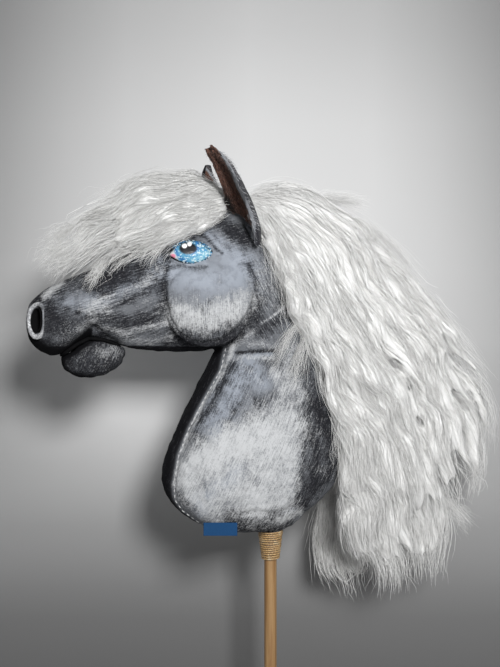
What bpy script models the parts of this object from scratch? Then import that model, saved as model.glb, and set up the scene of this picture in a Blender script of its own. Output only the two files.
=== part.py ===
"""Hobby horse: a stuffed cloth horse's head and neck on a round wooden stick.

The stick stands along Z with its foot at the origin. The horse faces -X, so its left side is -Y.
"""

import math

import bmesh
import bpy
from mathutils import Matrix, Vector
from mathutils.bvhtree import BVHTree

# Clearances
GAP = 0.0003  # between two pieces that touch
CLOTH = 0.002  # thickness of the coat cloth
SLIVER = 0.00001  # edges shorter than this are merged after a cut
FORM_POINTS = 10  # round each section of the stuffed forms

# Stick and twine
STICK_DIAMETER = 0.018
STICK_FREE_LENGTH = 0.584  # from the foot to the twine
STICK_BURIED_LENGTH = 0.370  # above the underside of the neck
STICK_EDGE = 0.001
TWINE_DIAMETER = 0.0026
TWINE_SPACE = 0.0006  # clear space from one turn to the next
TWINE_TURNS = 13
TWINE_SPREAD = 0.0055  # how much wider the winding is at its top, on the radius
TWINE_POINTS = 12  # in each turn

# Neck: a bell that widens downwards
THROAT_HEIGHT = 0.255  # from the neck's underside to the jaw
NECK_INTO_HEAD = 0.180
NECK_DEPTH = 0.283
NECK_WIDTH = 0.140
NECK_SECTIONS = (
    # up, front, back, width, each a share of the neck's own size
    (0.000, -0.250, 0.060, 0.31),
    (0.016, -0.350, 0.110, 0.54),
    (0.060, -0.455, 0.190, 0.76),
    (0.130, -0.560, 0.325, 0.94),
    (0.220, -0.576, 0.428, 1.00),
    (0.360, -0.478, 0.382, 0.95),
    (0.520, -0.352, 0.292, 0.83),
    (0.680, -0.220, 0.283, 0.75),
    (0.851, -0.175, 0.254, 0.67),
    (0.966, -0.140, 0.150, 0.51),
    (1.000, -0.088, 0.053, 0.26),
)

# Head
HEAD_LENGTH = 0.383
HEAD_BACK = 0.038  # the rear of the skull, behind the stick's axis
HEAD_DEPTH = 0.216
HEAD_WIDTH = 0.124
HEAD_SECTIONS = (
    # along, top, bottom, width, each a share of the head's own size
    (0.000, 0.292, 0.125, 0.26),
    (0.022, 0.356, 0.051, 0.48),
    (0.080, 0.431, -0.019, 0.68),
    (0.150, 0.486, -0.023, 0.74),
    (0.225, 0.532, 0.148, 0.73),
    (0.320, 0.616, 0.037, 0.77),
    (0.470, 0.765, 0.014, 0.91),
    (0.640, 0.935, 0.014, 1.00),
    (0.800, 1.000, 0.060, 0.97),
    (0.940, 0.930, 0.235, 0.75),
    (1.000, 0.740, 0.440, 0.32),
)

# Cloth panels
FOREHEAD_GUSSET_WIDTH = 0.044
THROAT_GUSSET_WIDTH = 0.054
BASE_SEAM_HEIGHT = 0.021  # above the neck's underside
GATHER_WALL = 0.001  # least cloth between the twine and the stick
GATHER_BORE_CLEARANCE = 0.0003

# Muzzle
NOSTRIL_UP = 0.215  # share of the head's depth
NOSTRIL_HOLE = (0.020, 0.036)
NOSTRIL_RIM_THICKNESS = 0.0086
NOSTRIL_DEPTH = 0.014
NOSTRIL_WALL = 0.0012
NOSTRIL_BEARING = math.radians(50)  # place on the muzzle, from square to the side
NOSTRIL_TURN = math.radians(58)  # way it faces, from square to the side
LIP_LENGTH = 0.088
LIP_HEIGHT = 0.056
LIP_WIDTH = 0.062
LIP_ALONG = 0.240
LIP_UP = -0.015
LIP_TILT = math.radians(-14)
MOUTH_LINING = 0.0015

# Eyes, lids and cheeks
EYE_ALONG = 0.567
EYE_UP = 0.643
EYE_LENGTH = 0.063
EYE_HEIGHT = 0.036
EYE_BULGE = 0.009
LID_CLEARANCE = 0.0012
UPPER_LID = 0.0085
LOWER_LID = 0.0045
CHEEK_ALONG = 0.632
CHEEK_UP = 0.320
CHEEK_LENGTH = 0.126
CHEEK_HEIGHT = 0.120
CHEEK_BULGE = 0.022

# Ears
EAR_ALONG = 0.785
EAR_UP = 0.80
EAR_LENGTH = 0.111
EAR_BASE_WIDTH = 0.056
EAR_MIDDLE_WIDTH = 0.050
EAR_CUP = 0.85  # share of half the ear's width
EAR_BASE_CUP = 0.30
EAR_TIP_SHARE = 0.94  # the leaf's rounded end, as a share of the way to a point
EAR_MIDDLE_FORWARD = 0.020
EAR_FORWARD = {"left": 0.070, "right": 0.034}  # how far the tip stands ahead of the foot
EAR_OUTWARD = 0.016
EAR_TURN = {"left": math.radians(30), "right": math.radians(6)}
EAR_CLOTH = 0.0035
EAR_LINING = 0.0040
EAR_RIM_SHARE = 0.30
EAR_LAYER_GAP = 0.0006
EAR_FOOT_DIAMETER = 0.009
EAR_FOOT_LENGTH = 0.028
EAR_FOOT_RISE = 0.0012
EAR_LEAF_RISE = 0.0036
EAR_FOOT_SLANT = 0.30
EAR_ROWS = 11
EAR_COLUMNS = 7

# Mane, forelock and their tape
WEFT_WIDTH = 0.010
WEFT_THICKNESS = 0.0025
WEFT_START = math.radians(78)  # place on the poll, up from the skull's rear
WEFT_FOOT = 0.300  # share of the neck's height
BESIDE_SEAM = 0.0007  # small step off the middle plane, so that a ray meets one face
FORELOCK_START = 0.690
FORELOCK_SECTIONS = (
    # share of the head's length ahead of the start, height above the skin, half height, half width
    (0.000, 0.022, 0.011, 0.014),
    (0.065, 0.033, 0.017, 0.020),
    (0.144, 0.033, 0.032, 0.036),
    (0.248, 0.036, 0.037, 0.048),
    (0.352, 0.038, 0.036, 0.045),
    (0.449, 0.036, 0.031, 0.036),
    (0.535, 0.027, 0.020, 0.024),
    (0.595, 0.026, 0.008, 0.009),
)
MANE_LOCKS = (
    # name, place of the root along the tape, rise over the root, reach behind the stick,
    # height of the tip above the neck's underside, half width, half thickness, side offset
    ("mane_lock_poll", 0.03, -0.060, 0.335, 0.140, 0.036, 0.024, -0.026),
    ("mane_lock_crest", 0.36, 0.000, 0.305, 0.012, 0.036, 0.024, -0.030),
    ("mane_lock_middle", 0.53, -0.030, 0.242, -0.080, 0.036, 0.024, -0.032),
    ("mane_lock_lower", 0.70, -0.080, 0.156, -0.094, 0.032, 0.022, -0.034),
    ("mane_lock_far_upper", 0.22, -0.030, 0.312, 0.080, 0.044, 0.022, 0.028),
    ("mane_lock_far_middle", 0.48, -0.020, 0.225, -0.040, 0.042, 0.022, 0.030),
    ("mane_lock_far_lower", 0.70, -0.090, 0.132, -0.115, 0.034, 0.022, 0.034),
)

# Label: a bare ribbon tab in the base seam
LABEL_WIDTH = 0.047
LABEL_DROP = 0.018
LABEL_THICKNESS = 0.0012
LABEL_X = -0.084

# Derived places
STICK_RADIUS = STICK_DIAMETER / 2
TWINE_RADIUS = TWINE_DIAMETER / 2
TWINE_PITCH = TWINE_DIAMETER + TWINE_SPACE
TWINE_HEIGHT = TWINE_TURNS * TWINE_PITCH + TWINE_DIAMETER
NECK_FLOOR = STICK_FREE_LENGTH + TWINE_HEIGHT + GAP
NECK_HEIGHT = THROAT_HEIGHT + NECK_INTO_HEAD
HEAD_FLOOR = NECK_FLOOR + THROAT_HEIGHT
NOSE = HEAD_BACK - HEAD_LENGTH
BASE_SEAM = NECK_FLOOR + BASE_SEAM_HEIGHT
STICK_TOP = NECK_FLOOR + STICK_BURIED_LENGTH
SIDES = {"left": -1.0, "right": 1.0}

PARTS = "hobby_horse"
CUTTERS = "cutters"


def clear_scene():
    for item in list(bpy.data.objects):
        bpy.data.objects.remove(item, do_unlink=True)


def collection(name):
    found = bpy.data.collections.get(name)
    if found is None:
        found = bpy.data.collections.new(name)
        bpy.context.scene.collection.children.link(found)
    return found


def add_object(name, mesh, group=CUTTERS):
    """A new object; one that only cuts or guides is drawn as wire and never rendered."""
    item = bpy.data.objects.new(name, mesh)
    collection(group).objects.link(item)
    if group == CUTTERS:
        item.hide_render = True
        item.display_type = "WIRE"
    return item


def from_bmesh(name, built, group=CUTTERS):
    """A new object from a body whose faces are first turned outwards."""
    built.normal_update()
    bmesh.ops.recalc_face_normals(built, faces=built.faces)
    mesh = bpy.data.meshes.new(name)
    built.to_mesh(mesh)
    built.free()
    return add_object(name, mesh, group)


def evaluated_mesh(item):
    bpy.context.view_layer.update()
    graph = bpy.context.evaluated_depsgraph_get()
    return bpy.data.meshes.new_from_object(item.evaluated_get(graph))


def bake(item):
    """Replaces an object's modifiers with the mesh that they make."""
    mesh = evaluated_mesh(item)
    item.modifiers.clear()
    item.data = mesh
    return item


def triangulate(item):
    """Fixes the diagonals, so that a grown copy keeps an even distance everywhere."""
    built = bmesh.new()
    built.from_mesh(item.data)
    bmesh.ops.triangulate(built, faces=built.faces, quad_method="FIXED")
    built.to_mesh(item.data)
    built.free()
    return item


def copy_of(item, name):
    return add_object(name, item.data.copy())


def grown(item, name, distance):
    """A copy of a body with its surface moved out, or in where the distance is below zero."""
    result = copy_of(item, name)
    offset = result.modifiers.new("offset", "DISPLACE")
    offset.mid_level = 0.0
    offset.strength = distance
    return bake(result)


def combine(item, other, operation):
    step = item.modifiers.new(operation.lower(), "BOOLEAN")
    step.operation = operation
    step.solver = "EXACT"
    step.object = other
    bake(item)
    built = bmesh.new()
    built.from_mesh(item.data)
    bmesh.ops.dissolve_degenerate(built, edges=built.edges, dist=SLIVER)
    built.to_mesh(item.data)
    built.free()
    return item


def cut(item, *cutters):
    for cutter in cutters:
        combine(item, cutter, "DIFFERENCE")
    return item


def keep(item, region):
    return combine(item, region, "INTERSECT")


def saw(item, point, normal):
    """Takes off all that lies ahead of a plane and closes the cut."""
    built = bmesh.new()
    built.from_mesh(item.data)
    found = bmesh.ops.bisect_plane(
        built,
        geom=built.verts[:] + built.edges[:] + built.faces[:],
        dist=SLIVER,
        plane_co=point,
        plane_no=normal,
        clear_outer=True,
    )
    rim = [edge for edge in found["geom_cut"] if isinstance(edge, bmesh.types.BMEdge)]
    bmesh.ops.triangle_fill(built, edges=rim, use_beauty=True)
    built.normal_update()
    bmesh.ops.recalc_face_normals(built, faces=built.faces)
    built.to_mesh(item.data)
    built.free()
    return item


def join(item, other):
    return combine(item, other, "UNION")


def head_x(share):
    return NOSE + share * HEAD_LENGTH


def head_z(share):
    return HEAD_FLOOR + share * HEAD_DEPTH


def neck_x(share):
    return share * NECK_DEPTH


def neck_z(share):
    return NECK_FLOOR + share * NECK_HEIGHT


def ring(centre, across, up, count=10, fullness=2.3):
    """A rounded closed section from its centre and two half sizes given as vectors."""
    points = []
    for index in range(count):
        angle = 2 * math.pi * index / count
        cosine = math.cos(angle)
        sine = math.sin(angle)
        reach = math.copysign(abs(cosine) ** (2 / fullness), cosine)
        rise = math.copysign(abs(sine) ** (2 / fullness), sine)
        points.append(centre + across * reach + up * rise)
    return points


def loft(name, rings, group=CUTTERS):
    """A closed body through sections with equally many points, with a flat face at each end."""
    built = bmesh.new()
    loops = [[built.verts.new(point) for point in section] for section in rings]
    for first, second in zip(loops, loops[1:]):
        for index in range(len(first)):
            after = (index + 1) % len(first)
            built.faces.new((first[index], first[after], second[after], second[index]))
    built.faces.new(loops[0])
    built.faces.new(loops[-1])
    return from_bmesh(name, built, group)


def soften(item, levels=1):
    smooth = item.modifiers.new("soft", "SUBSURF")
    smooth.levels = levels
    smooth.render_levels = levels
    return triangulate(bake(item))


def cylinder(name, start, end, radius, segments=24, end_radius=None):
    """A closed cylinder or cone from one centre to another."""
    start = Vector(start)
    end = Vector(end)
    built = bmesh.new()
    bmesh.ops.create_cone(
        built,
        cap_ends=True,
        segments=segments,
        radius1=radius,
        radius2=radius if end_radius is None else end_radius,
        depth=(end - start).length,
    )
    turn = (end - start).to_track_quat("Z", "Y").to_matrix().to_4x4()
    built.transform(Matrix.Translation((start + end) / 2) @ turn)
    return from_bmesh(name, built)


def tube(name, points, radii, closed=False, resolution=1):
    """A round cord through points, as a curve with a bevel, turned into a mesh."""
    data = bpy.data.curves.new(name, "CURVE")
    data.dimensions = "3D"
    data.bevel_depth = 1.0
    data.bevel_resolution = resolution
    data.use_fill_caps = not closed
    spline = data.splines.new("POLY")
    spline.points.add(len(points) - 1)
    for target, place, radius in zip(spline.points, points, radii):
        target.co = (*place, 1.0)
        target.radius = radius
    spline.use_cyclic_u = closed
    curve = add_object(name + "_line", data)
    mesh = evaluated_mesh(curve)
    built = bmesh.new()
    built.from_mesh(mesh)
    bmesh.ops.remove_doubles(built, verts=built.verts, dist=0.00001)
    bpy.data.objects.remove(curve, do_unlink=True)
    return from_bmesh(name, built)


def ellipsoid(name, matrix, segments=20, rings=8, almond=0.0):
    """A ball of radius one shaped by the matrix; almond draws in its height towards both ends."""
    built = bmesh.new()
    bmesh.ops.create_uvsphere(built, u_segments=segments, v_segments=rings, radius=1.0)
    for vertex in built.verts:
        vertex.co.y *= 1.0 - almond * vertex.co.x ** 2
    built.transform(matrix)
    return from_bmesh(name, built)


def frame(origin, first, second, third):
    """The matrix whose columns are the three directions, each with its own length, and the origin."""
    matrix = Matrix((first, second, third)).transposed().to_4x4()
    matrix.translation = origin
    return matrix


def material(name, colour, roughness, metallic=0.0):
    made = bpy.data.materials.new(name)
    made.use_nodes = True
    shader = made.node_tree.nodes["Principled BSDF"]
    shader.inputs["Base Color"].default_value = (*colour, 1.0)
    shader.inputs["Roughness"].default_value = roughness
    shader.inputs["Metallic"].default_value = metallic
    made.diffuse_color = (*colour, 1.0)
    return made


def finish(item, name, look, sharp=40):
    """Makes a body one of the object's parts, under its own name, shading and material."""
    for owner in list(item.users_collection):
        owner.objects.unlink(item)
    collection(PARTS).objects.link(item)
    item.hide_render = False
    item.display_type = "TEXTURED"
    item.name = name
    item.data.name = name
    item.data.materials.clear()
    item.data.materials.append(look)
    item.data.shade_smooth()
    item.data.set_sharp_from_angle(angle=math.radians(sharp))
    return item


def set_pivot(item, pivot):
    """Moves an object's origin to its joint without moving its surface."""
    item.data.transform(Matrix.Translation(-pivot))
    item.matrix_world = Matrix.Translation(pivot)


class Skin:
    """The outer surface of the stuffed form, to seat pieces on."""

    def __init__(self, item):
        built = bmesh.new()
        built.from_mesh(item.data)
        self.tree = BVHTree.FromBMesh(built)
        built.free()

    def meet(self, start, direction):
        place, normal, _, _ = self.tree.ray_cast(Vector(start), Vector(direction).normalized())
        return place, normal

    def side(self, x, z, side):
        """Where the side of the form lies at a point of the side view."""
        return self.meet((x, side, z), (0, -side, 0))


def make_looks():
    return {
        "coat": material("coat_cloth", (0.32, 0.33, 0.38), 0.95),
        "dark": material("dark_cloth", (0.035, 0.035, 0.042), 0.95),
        "stuffing": material("stuffing", (0.80, 0.79, 0.75), 1.0),
        "wood": material("pine", (0.62, 0.36, 0.14), 0.5),
        "twine": material("jute_twine", (0.42, 0.27, 0.12), 0.7),
        "black": material("black_cloth", (0.006, 0.006, 0.007), 1.0),
        "rim": material("rim_cloth", (0.60, 0.60, 0.62), 0.95),
        "eye": material("painted_eye", (0.22, 0.50, 0.72), 0.08),
        "lid": material("lid_cloth", (0.28, 0.29, 0.36), 0.9),
        "plush": material("brown_plush", (0.07, 0.028, 0.02), 1.0),
        "wool": material("white_wool", (0.80, 0.79, 0.74), 1.0),
        "tape": material("woven_tape", (0.70, 0.69, 0.65), 1.0),
        "ribbon": material("blue_ribbon", (0.004, 0.09, 0.30), 0.6),
    }


def head_rings():
    """Sections of the head, a little larger than the surface that smoothing leaves."""
    gain = 3 / (2 + math.cos(2 * math.pi / FORM_POINTS))
    rings = []
    for along, top, bottom, width in HEAD_SECTIONS:
        centre = Vector((head_x(along), 0, head_z((top + bottom) / 2)))
        across = Vector((0, width * HEAD_WIDTH / 2 * gain, 0))
        up = Vector((0, 0, (top - bottom) / 2 * HEAD_DEPTH * gain))
        rings.append(ring(centre, across, up, count=FORM_POINTS, fullness=2.15))
    return rings


def neck_rings():
    gain = 3 / (2 + math.cos(2 * math.pi / FORM_POINTS))
    rings = []
    for up, front, back, width in NECK_SECTIONS:
        centre = Vector((neck_x((front + back) / 2), 0, neck_z(up)))
        along = Vector((neck_x((back - front) / 2) * gain, 0, 0))
        across = Vector((0, width * NECK_WIDTH / 2 * gain, 0))
        rings.append(ring(centre, along, across, count=FORM_POINTS, fullness=2.2))
    return rings


def forehead_region(extra):
    """The space over the head that holds the forehead gusset."""
    stations = (
        # along, lowest height, share of the gusset's width
        (-0.05, 0.23, 0.30),
        (0.06, 0.23, 0.40),
        (0.25, 0.28, 0.75),
        (0.55, 0.45, 1.0),
        (0.86, 0.60, 0.75),
    )
    rings = []
    for along, low, width in stations:
        half = FOREHEAD_GUSSET_WIDTH / 2 * width + extra
        x = head_x(along) + (extra if along > 0.8 else 0)
        foot = head_z(low) - extra
        roof = head_z(1.4)
        corners = ((-half, foot), (half, foot), (half, roof), (-half, roof))
        rings.append([Vector((x, y, z)) for y, z in corners])
    return triangulate(loft("forehead_region", rings))


def throat_region(extra):
    """The space under the jaw and ahead of the neck that holds the throat gusset."""
    stations = (
        # inner point, outer point, share of the gusset's width
        ((head_x(0.19) - extra, head_z(0.25)), (head_x(0.19) - extra, head_z(-0.40)), 0.50),
        ((head_x(0.45), head_z(0.30)), (head_x(0.47), head_z(-0.20)), 0.66),
        ((head_x(0.70), head_z(0.34)), (head_x(0.51), head_z(-0.19)), 0.80),
        ((0, head_z(-0.03)), (head_x(0.50), head_z(-0.24)), 0.96),
        ((0, neck_z(0.30)), (neck_x(-0.78), neck_z(0.30)), 1.0),
        ((0, neck_z(0.20)), (neck_x(-0.80), neck_z(0.16)), 1.0),
        ((0, neck_z(0.00)), (neck_x(-0.80), neck_z(-0.12)), 0.95),
    )
    rings = []
    for inner, outer, width in stations:
        half = THROAT_GUSSET_WIDTH / 2 * width + extra
        corners = ((inner, -half), (inner, half), (outer, half), (outer, -half))
        rings.append([Vector((x, y, z)) for (x, z), y in corners])
    return triangulate(loft("throat_region", rings))


def winding_radius(height):
    """Radius of the twine's centre line at a height above the winding's foot."""
    share = min(max(height / TWINE_HEIGHT, 0), 1)
    return STICK_RADIUS + GAP + TWINE_RADIUS + TWINE_SPREAD * share


def winding_points():
    """The twine's centre line: turns that climb the stick, with a straight end on each side."""
    points = []
    for index in range(TWINE_TURNS * TWINE_POINTS + 1):
        turn = index / TWINE_POINTS
        height = TWINE_RADIUS + turn * TWINE_PITCH
        radius = winding_radius(height) / math.cos(math.pi / TWINE_POINTS)
        angle = 2 * math.pi * turn
        place = (radius * math.cos(angle), radius * math.sin(angle), STICK_FREE_LENGTH + height)
        points.append(Vector(place))
    first = (points[0] - points[1]).normalized()
    last = (points[-1] - points[-2]).normalized()
    first.z = 0
    last.z = 0
    points.insert(0, points[0] + first * TWINE_DIAMETER)
    points.append(points[-1] + last * TWINE_DIAMETER)
    return points


def least_gap(points, diameter, skip):
    """The least clear space between a cord's passes that lie more than a few points apart."""
    least = math.inf
    for index, place in enumerate(points):
        for other in points[index + skip:]:
            least = min(least, (place - other).length - diameter)
    return least


def make_stick(looks):
    stick = cylinder("stick", (0, 0, 0), (0, 0, STICK_TOP), STICK_RADIUS, segments=32)
    edge = stick.modifiers.new("eased_ends", "BEVEL")
    edge.width = STICK_EDGE
    edge.segments = 2
    edge.limit_method = "ANGLE"
    finish(bake(stick), "stick", looks["wood"])


def make_winding(looks):
    points = winding_points()
    winding = tube("twine_winding", points, [TWINE_RADIUS] * len(points))
    gap = least_gap(points, TWINE_DIAMETER, TWINE_POINTS // 2)
    print(f"twine winding: least gap to itself {gap * 1000:.2f} mm")
    finish(winding, "twine_winding", looks["twine"])


def make_gather():
    """The base cloth's gathered end: a cone round the stick, under the twine."""
    wall_height = (GATHER_WALL + GATHER_BORE_CLEARANCE) / TWINE_SPREAD * TWINE_HEIGHT + TWINE_DIAMETER
    low = STICK_FREE_LENGTH + wall_height
    high = NECK_FLOOR + CLOTH * 0.8
    inset = TWINE_RADIUS + GAP
    gather = cylinder(
        "gather",
        (0, 0, low),
        (0, 0, high),
        winding_radius(wall_height) - inset,
        end_radius=winding_radius(TWINE_HEIGHT) - inset,
    )
    return gather


def make_forms():
    """The stuffed head and neck as bare forms, and the closed cloth shell over both."""
    head = soften(loft("head_form", head_rings()))
    neck = soften(loft("neck_form", neck_rings()))
    shell = join(copy_of(head, "cloth_shell"), neck)
    outside = copy_of(shell, "outside")
    cut(shell, grown(head, "head_inside", -CLOTH), grown(neck, "neck_inside", -CLOTH))
    return head, neck, shell, outside


def make_clearance(head, neck, distance, name):
    return join(grown(head, name, distance), grown(neck, name + "_neck", distance))


def make_panels(shell, openings, bore, looks):
    """Cuts the shell along its seams into the cloth panels."""
    forehead = copy_of(shell, "forehead_gusset")
    keep(forehead, forehead_region(0))
    finish(forehead, "forehead_gusset", looks["coat"])

    base = saw(copy_of(shell, "base_panel"), (0, 0, BASE_SEAM - GAP / 2), (0, 0, 1))
    above = saw(copy_of(shell, "above_base"), (0, 0, BASE_SEAM + GAP / 2), (0, 0, -1))
    throat = keep(copy_of(above, "throat_gusset"), throat_region(0))
    finish(throat, "throat_gusset", looks["dark"])

    join(base, make_gather())
    cut(base, bore)
    finish(base, "base_panel", looks["dark"])

    forehead_room = forehead_region(GAP)
    throat_room = throat_region(GAP)
    for name, side in SIDES.items():
        panel = saw(copy_of(above, "side_panel_" + name), (0, side * GAP / 2, 0), (0, -side, 0))
        cut(panel, throat_room, forehead_room, *openings[name])
        finish(panel, "side_panel_" + name, looks["coat"])


def make_stuffing(head, neck, openings, bore, looks):
    head_core = grown(head, "head_stuffing", -CLOTH - GAP)
    neck_core = grown(neck, "neck_stuffing", -CLOTH - GAP)
    cut(neck_core, grown(head, "head_room", -CLOTH), bore, *openings)
    cut(head_core, bore, *openings)
    finish(head_core, "head_stuffing", looks["stuffing"])
    finish(neck_core, "neck_stuffing", looks["stuffing"])


def nostril_frame(skin, side):
    """A frame on the muzzle's front corner: across, up, out."""
    out = Vector((-math.sin(NOSTRIL_TURN), side * math.cos(NOSTRIL_TURN), 0))
    bearing = Vector((-math.sin(NOSTRIL_BEARING), side * math.cos(NOSTRIL_BEARING), 0))
    up = Vector((0, 0, 1))
    across = up.cross(out)
    middle = Vector((head_x(0.12), 0, head_z(NOSTRIL_UP)))
    place, _ = skin.meet(middle + bearing, -bearing)
    return frame(place, across, up, out)


def nostril_cup(matrix, grow, name):
    """The cup's outer body: an oval pit sunk from just above the skin."""
    built = bmesh.new()
    bmesh.ops.create_cone(built, cap_ends=True, segments=20, radius1=0.82, radius2=1.0, depth=1.0)
    size = Matrix.Diagonal(
        (
            NOSTRIL_HOLE[0] / 2 + NOSTRIL_WALL + grow,
            NOSTRIL_HOLE[1] / 2 + NOSTRIL_WALL + grow,
            NOSTRIL_DEPTH + 2 * grow + 0.010,
            1,
        )
    )
    middle = Matrix.Translation((0, 0, 0.005 - NOSTRIL_DEPTH / 2))
    built.transform(matrix @ middle @ size)
    return from_bmesh(name, built)


def make_nostril(skin, clearance, matrix, name, looks):
    """An oval stuffed ring laid on the muzzle round a dark cloth cup."""
    cup = nostril_cup(matrix, 0, "nostril_cup")
    hollow = nostril_cup(matrix @ Matrix.Translation((0, 0, NOSTRIL_WALL)), -NOSTRIL_WALL, "nostril_hollow")
    trim = grown(clearance, "nostril_trim", CLOTH)
    keep(cup, trim)
    cut(cup, hollow)
    finish(cup, "nostril_lining_" + name, looks["black"])

    radius = NOSTRIL_RIM_THICKNESS / 2
    room = GAP + NOSTRIL_WALL + radius
    out = matrix.to_3x3() @ Vector((0, 0, 1))
    points = []
    steps = 20
    for index in range(steps):
        angle = 2 * math.pi * index / steps
        local = Vector(
            (
                (NOSTRIL_HOLE[0] / 2 + room) * math.cos(angle),
                (NOSTRIL_HOLE[1] / 2 + room) * math.sin(angle),
                0,
            )
        )
        place, normal = skin.meet(matrix @ local + out * 0.2, -out)
        points.append(place + normal * radius * 0.55)
    rim = tube("nostril_rim", points, [radius] * len(points), closed=True)
    cut(rim, clearance, nostril_cup(matrix, GAP, "nostril_cup_room"))
    finish(rim, "nostril_rim_" + name, looks["rim"])


def make_mouth(head, looks):
    """The lower lip under the muzzle and the dark cloth between the two."""
    tilt = Matrix.Rotation(LIP_TILT, 4, "Y")
    size = Matrix.Diagonal((LIP_LENGTH / 2, LIP_WIDTH / 2, LIP_HEIGHT / 2, 1))
    centre = Matrix.Translation((head_x(LIP_ALONG), 0, head_z(LIP_UP)))
    lip = ellipsoid("lower_lip", centre @ tilt @ size, segments=16, rings=10)
    cut(lip, grown(head, "lip_room", MOUTH_LINING + 3 * GAP))
    finish(lip, "lower_lip", looks["dark"])

    lining = grown(head, "mouth_lining", MOUTH_LINING + GAP)
    inner = grown(head, "mouth_lining_inside", GAP)
    fit = Matrix.Diagonal((0.88, 0.80, 1.05, 1))
    region = ellipsoid("mouth_region", centre @ tilt @ size @ fit, segments=16, rings=10)
    keep(lining, region)
    cut(lining, inner)
    finish(lining, "mouth_lining", looks["black"])


def eye_frame(skin, side):
    """A frame on the side of the head: towards the rear, up, out."""
    place, normal = skin.side(head_x(EYE_ALONG), head_z(EYE_UP), side)
    out = Vector((normal.x * 0.6, normal.y, normal.z * 0.6)).normalized()
    rear = Vector((1, 0, 0))
    rear = (rear - out * rear.dot(out)).normalized()
    up = out.cross(rear)
    if up.z < 0:
        up = -up
    return frame(place, rear, up, out)


def eye_body(matrix, grow, name):
    size = Matrix.Diagonal((EYE_LENGTH / 2 + grow, EYE_HEIGHT / 2 + grow, EYE_BULGE + grow, 1))
    return ellipsoid(name, matrix @ size, almond=0.25)


def lid_path(skin, matrix, over, radii):
    """Points along the upper or the lower edge of the eye, laid on the skin."""
    out = matrix.to_3x3() @ Vector((0, 0, 1))
    points = []
    for index, radius in enumerate(radii):
        angle = math.pi * index / (len(radii) - 1)
        reach = -math.cos(angle)
        height = math.sin(angle) * (1 - 0.25 * reach ** 2)
        away = LID_CLEARANCE + radius * 0.8
        local = Vector((reach * (EYE_LENGTH / 2 + away), over * height * (EYE_HEIGHT / 2 + away), 0))
        place, normal = skin.meet(matrix @ local + out * 0.2, -out)
        points.append(place + normal * radius * 0.5)
    return points


def make_eye(skin, clearance, matrix, name, looks):
    eye = cut(eye_body(matrix, 0, "eye"), clearance)
    finish(eye, "eye_" + name, looks["eye"])
    room = eye_body(matrix, GAP, "eye_room")
    lids = []
    for lid, over, thickness in (("upper", 1, UPPER_LID), ("lower", -1, LOWER_LID)):
        steps = 13
        radii = [
            thickness / 2 * (0.35 + 0.65 * math.sin(math.pi * index / (steps - 1)))
            for index in range(steps)
        ]
        points = lid_path(skin, matrix, over, radii)
        if over < 0:
            points = points[1:-1]
            radii = radii[1:-1]
        fold = cut(tube("lid", points, radii), clearance, room)
        if lids:
            cut(fold, lids[0])
        lids.append(tube("lid_room", points, [radius + GAP for radius in radii]))
        finish(fold, f"eyelid_{lid}_{name}", looks["lid"])
    return [room] + lids


def make_cheek(clearance, rooms, side, name, looks):
    """A round stuffed pad on the side of the head, under the eye."""
    x = head_x(CHEEK_ALONG)
    z = head_z(CHEEK_UP)
    centre = Vector((x, side * HEAD_WIDTH * 0.44, z))
    size = Matrix.Diagonal((CHEEK_LENGTH / 2, CHEEK_BULGE, CHEEK_HEIGHT / 2, 1))
    turn = Matrix.Rotation(math.pi / 2, 4, "X")
    shape = Matrix.Translation(centre) @ size @ turn
    cheek = cut(ellipsoid("cheek", shape, segments=24, rings=10), clearance, *rooms)
    finish(cheek, "cheek_" + name, looks["coat"])


def ear_frame(skin, side):
    """The ear's foot on the skin: its centre, its axis down the side of the head, and out."""
    place, normal = skin.side(head_x(EAR_ALONG), head_z(EAR_UP), side)
    down = Vector((0, side * abs(normal.z), -abs(normal.y))).normalized()
    axis = Vector((EAR_FOOT_SLANT, 0, 0)) + down * math.sqrt(1 - EAR_FOOT_SLANT ** 2)
    axis = (axis - normal * axis.dot(normal)).normalized()
    return place + normal * EAR_FOOT_RISE, axis, normal


def ear_edge(start, middle, tip, share):
    """A point on an edge of the ear, which bows from its start through its middle to the tip."""
    bow = middle * 2 - (start + tip) / 2
    return start * (1 - share) ** 2 + bow * (2 * share * (1 - share)) + tip * share ** 2


def ear_grid(foot, axis, normal, name):
    """Rows of points over the ear's cupped leaf, flat on the skin at its foot."""
    side = SIDES[name]
    turn = EAR_TURN[name]
    base = foot + normal * EAR_LEAF_RISE
    across = Vector((math.sin(turn), side * math.cos(turn), 0)) * EAR_MIDDLE_WIDTH / 2
    forward = Vector((-math.cos(turn), side * math.sin(turn), 0))
    middle = base + Vector((-EAR_MIDDLE_FORWARD, side * EAR_OUTWARD / 2, EAR_LENGTH / 2))
    tip = base + Vector((-EAR_FORWARD[name], side * EAR_OUTWARD, EAR_LENGTH))
    spread = axis * EAR_BASE_WIDTH / 2
    front_foot = (normal * side).cross(axis)
    rows = []
    for row in range(EAR_ROWS):
        share = row / (EAR_ROWS - 1) * EAR_TIP_SHARE
        inner = ear_edge(base - spread, middle - across, tip, share)
        outer = ear_edge(base + spread, middle + across, tip, share)
        half = (outer - inner) / 2
        chord = half.normalized()
        front = front_foot.lerp(forward, min(share * 2, 1))
        front = (front - chord * front.dot(chord)).normalized()
        depth = half.length * (EAR_BASE_CUP + (EAR_CUP - EAR_BASE_CUP) * min(share * 4, 1))
        row_points = []
        for column in range(EAR_COLUMNS):
            reach = (2 * column / (EAR_COLUMNS - 1) - 1) * math.pi / 2
            bend = 1 - math.cos(reach)
            row_points.append((inner + outer) / 2 + half * math.sin(reach) + front * depth * bend)
        rows.append(row_points)
    return rows


def drawn_in(row, share):
    """The row with its two ends drawn a share of the way to their neighbours."""
    return [row[0].lerp(row[1], share)] + row[1:-1] + [row[-1].lerp(row[-2], share)]


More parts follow.
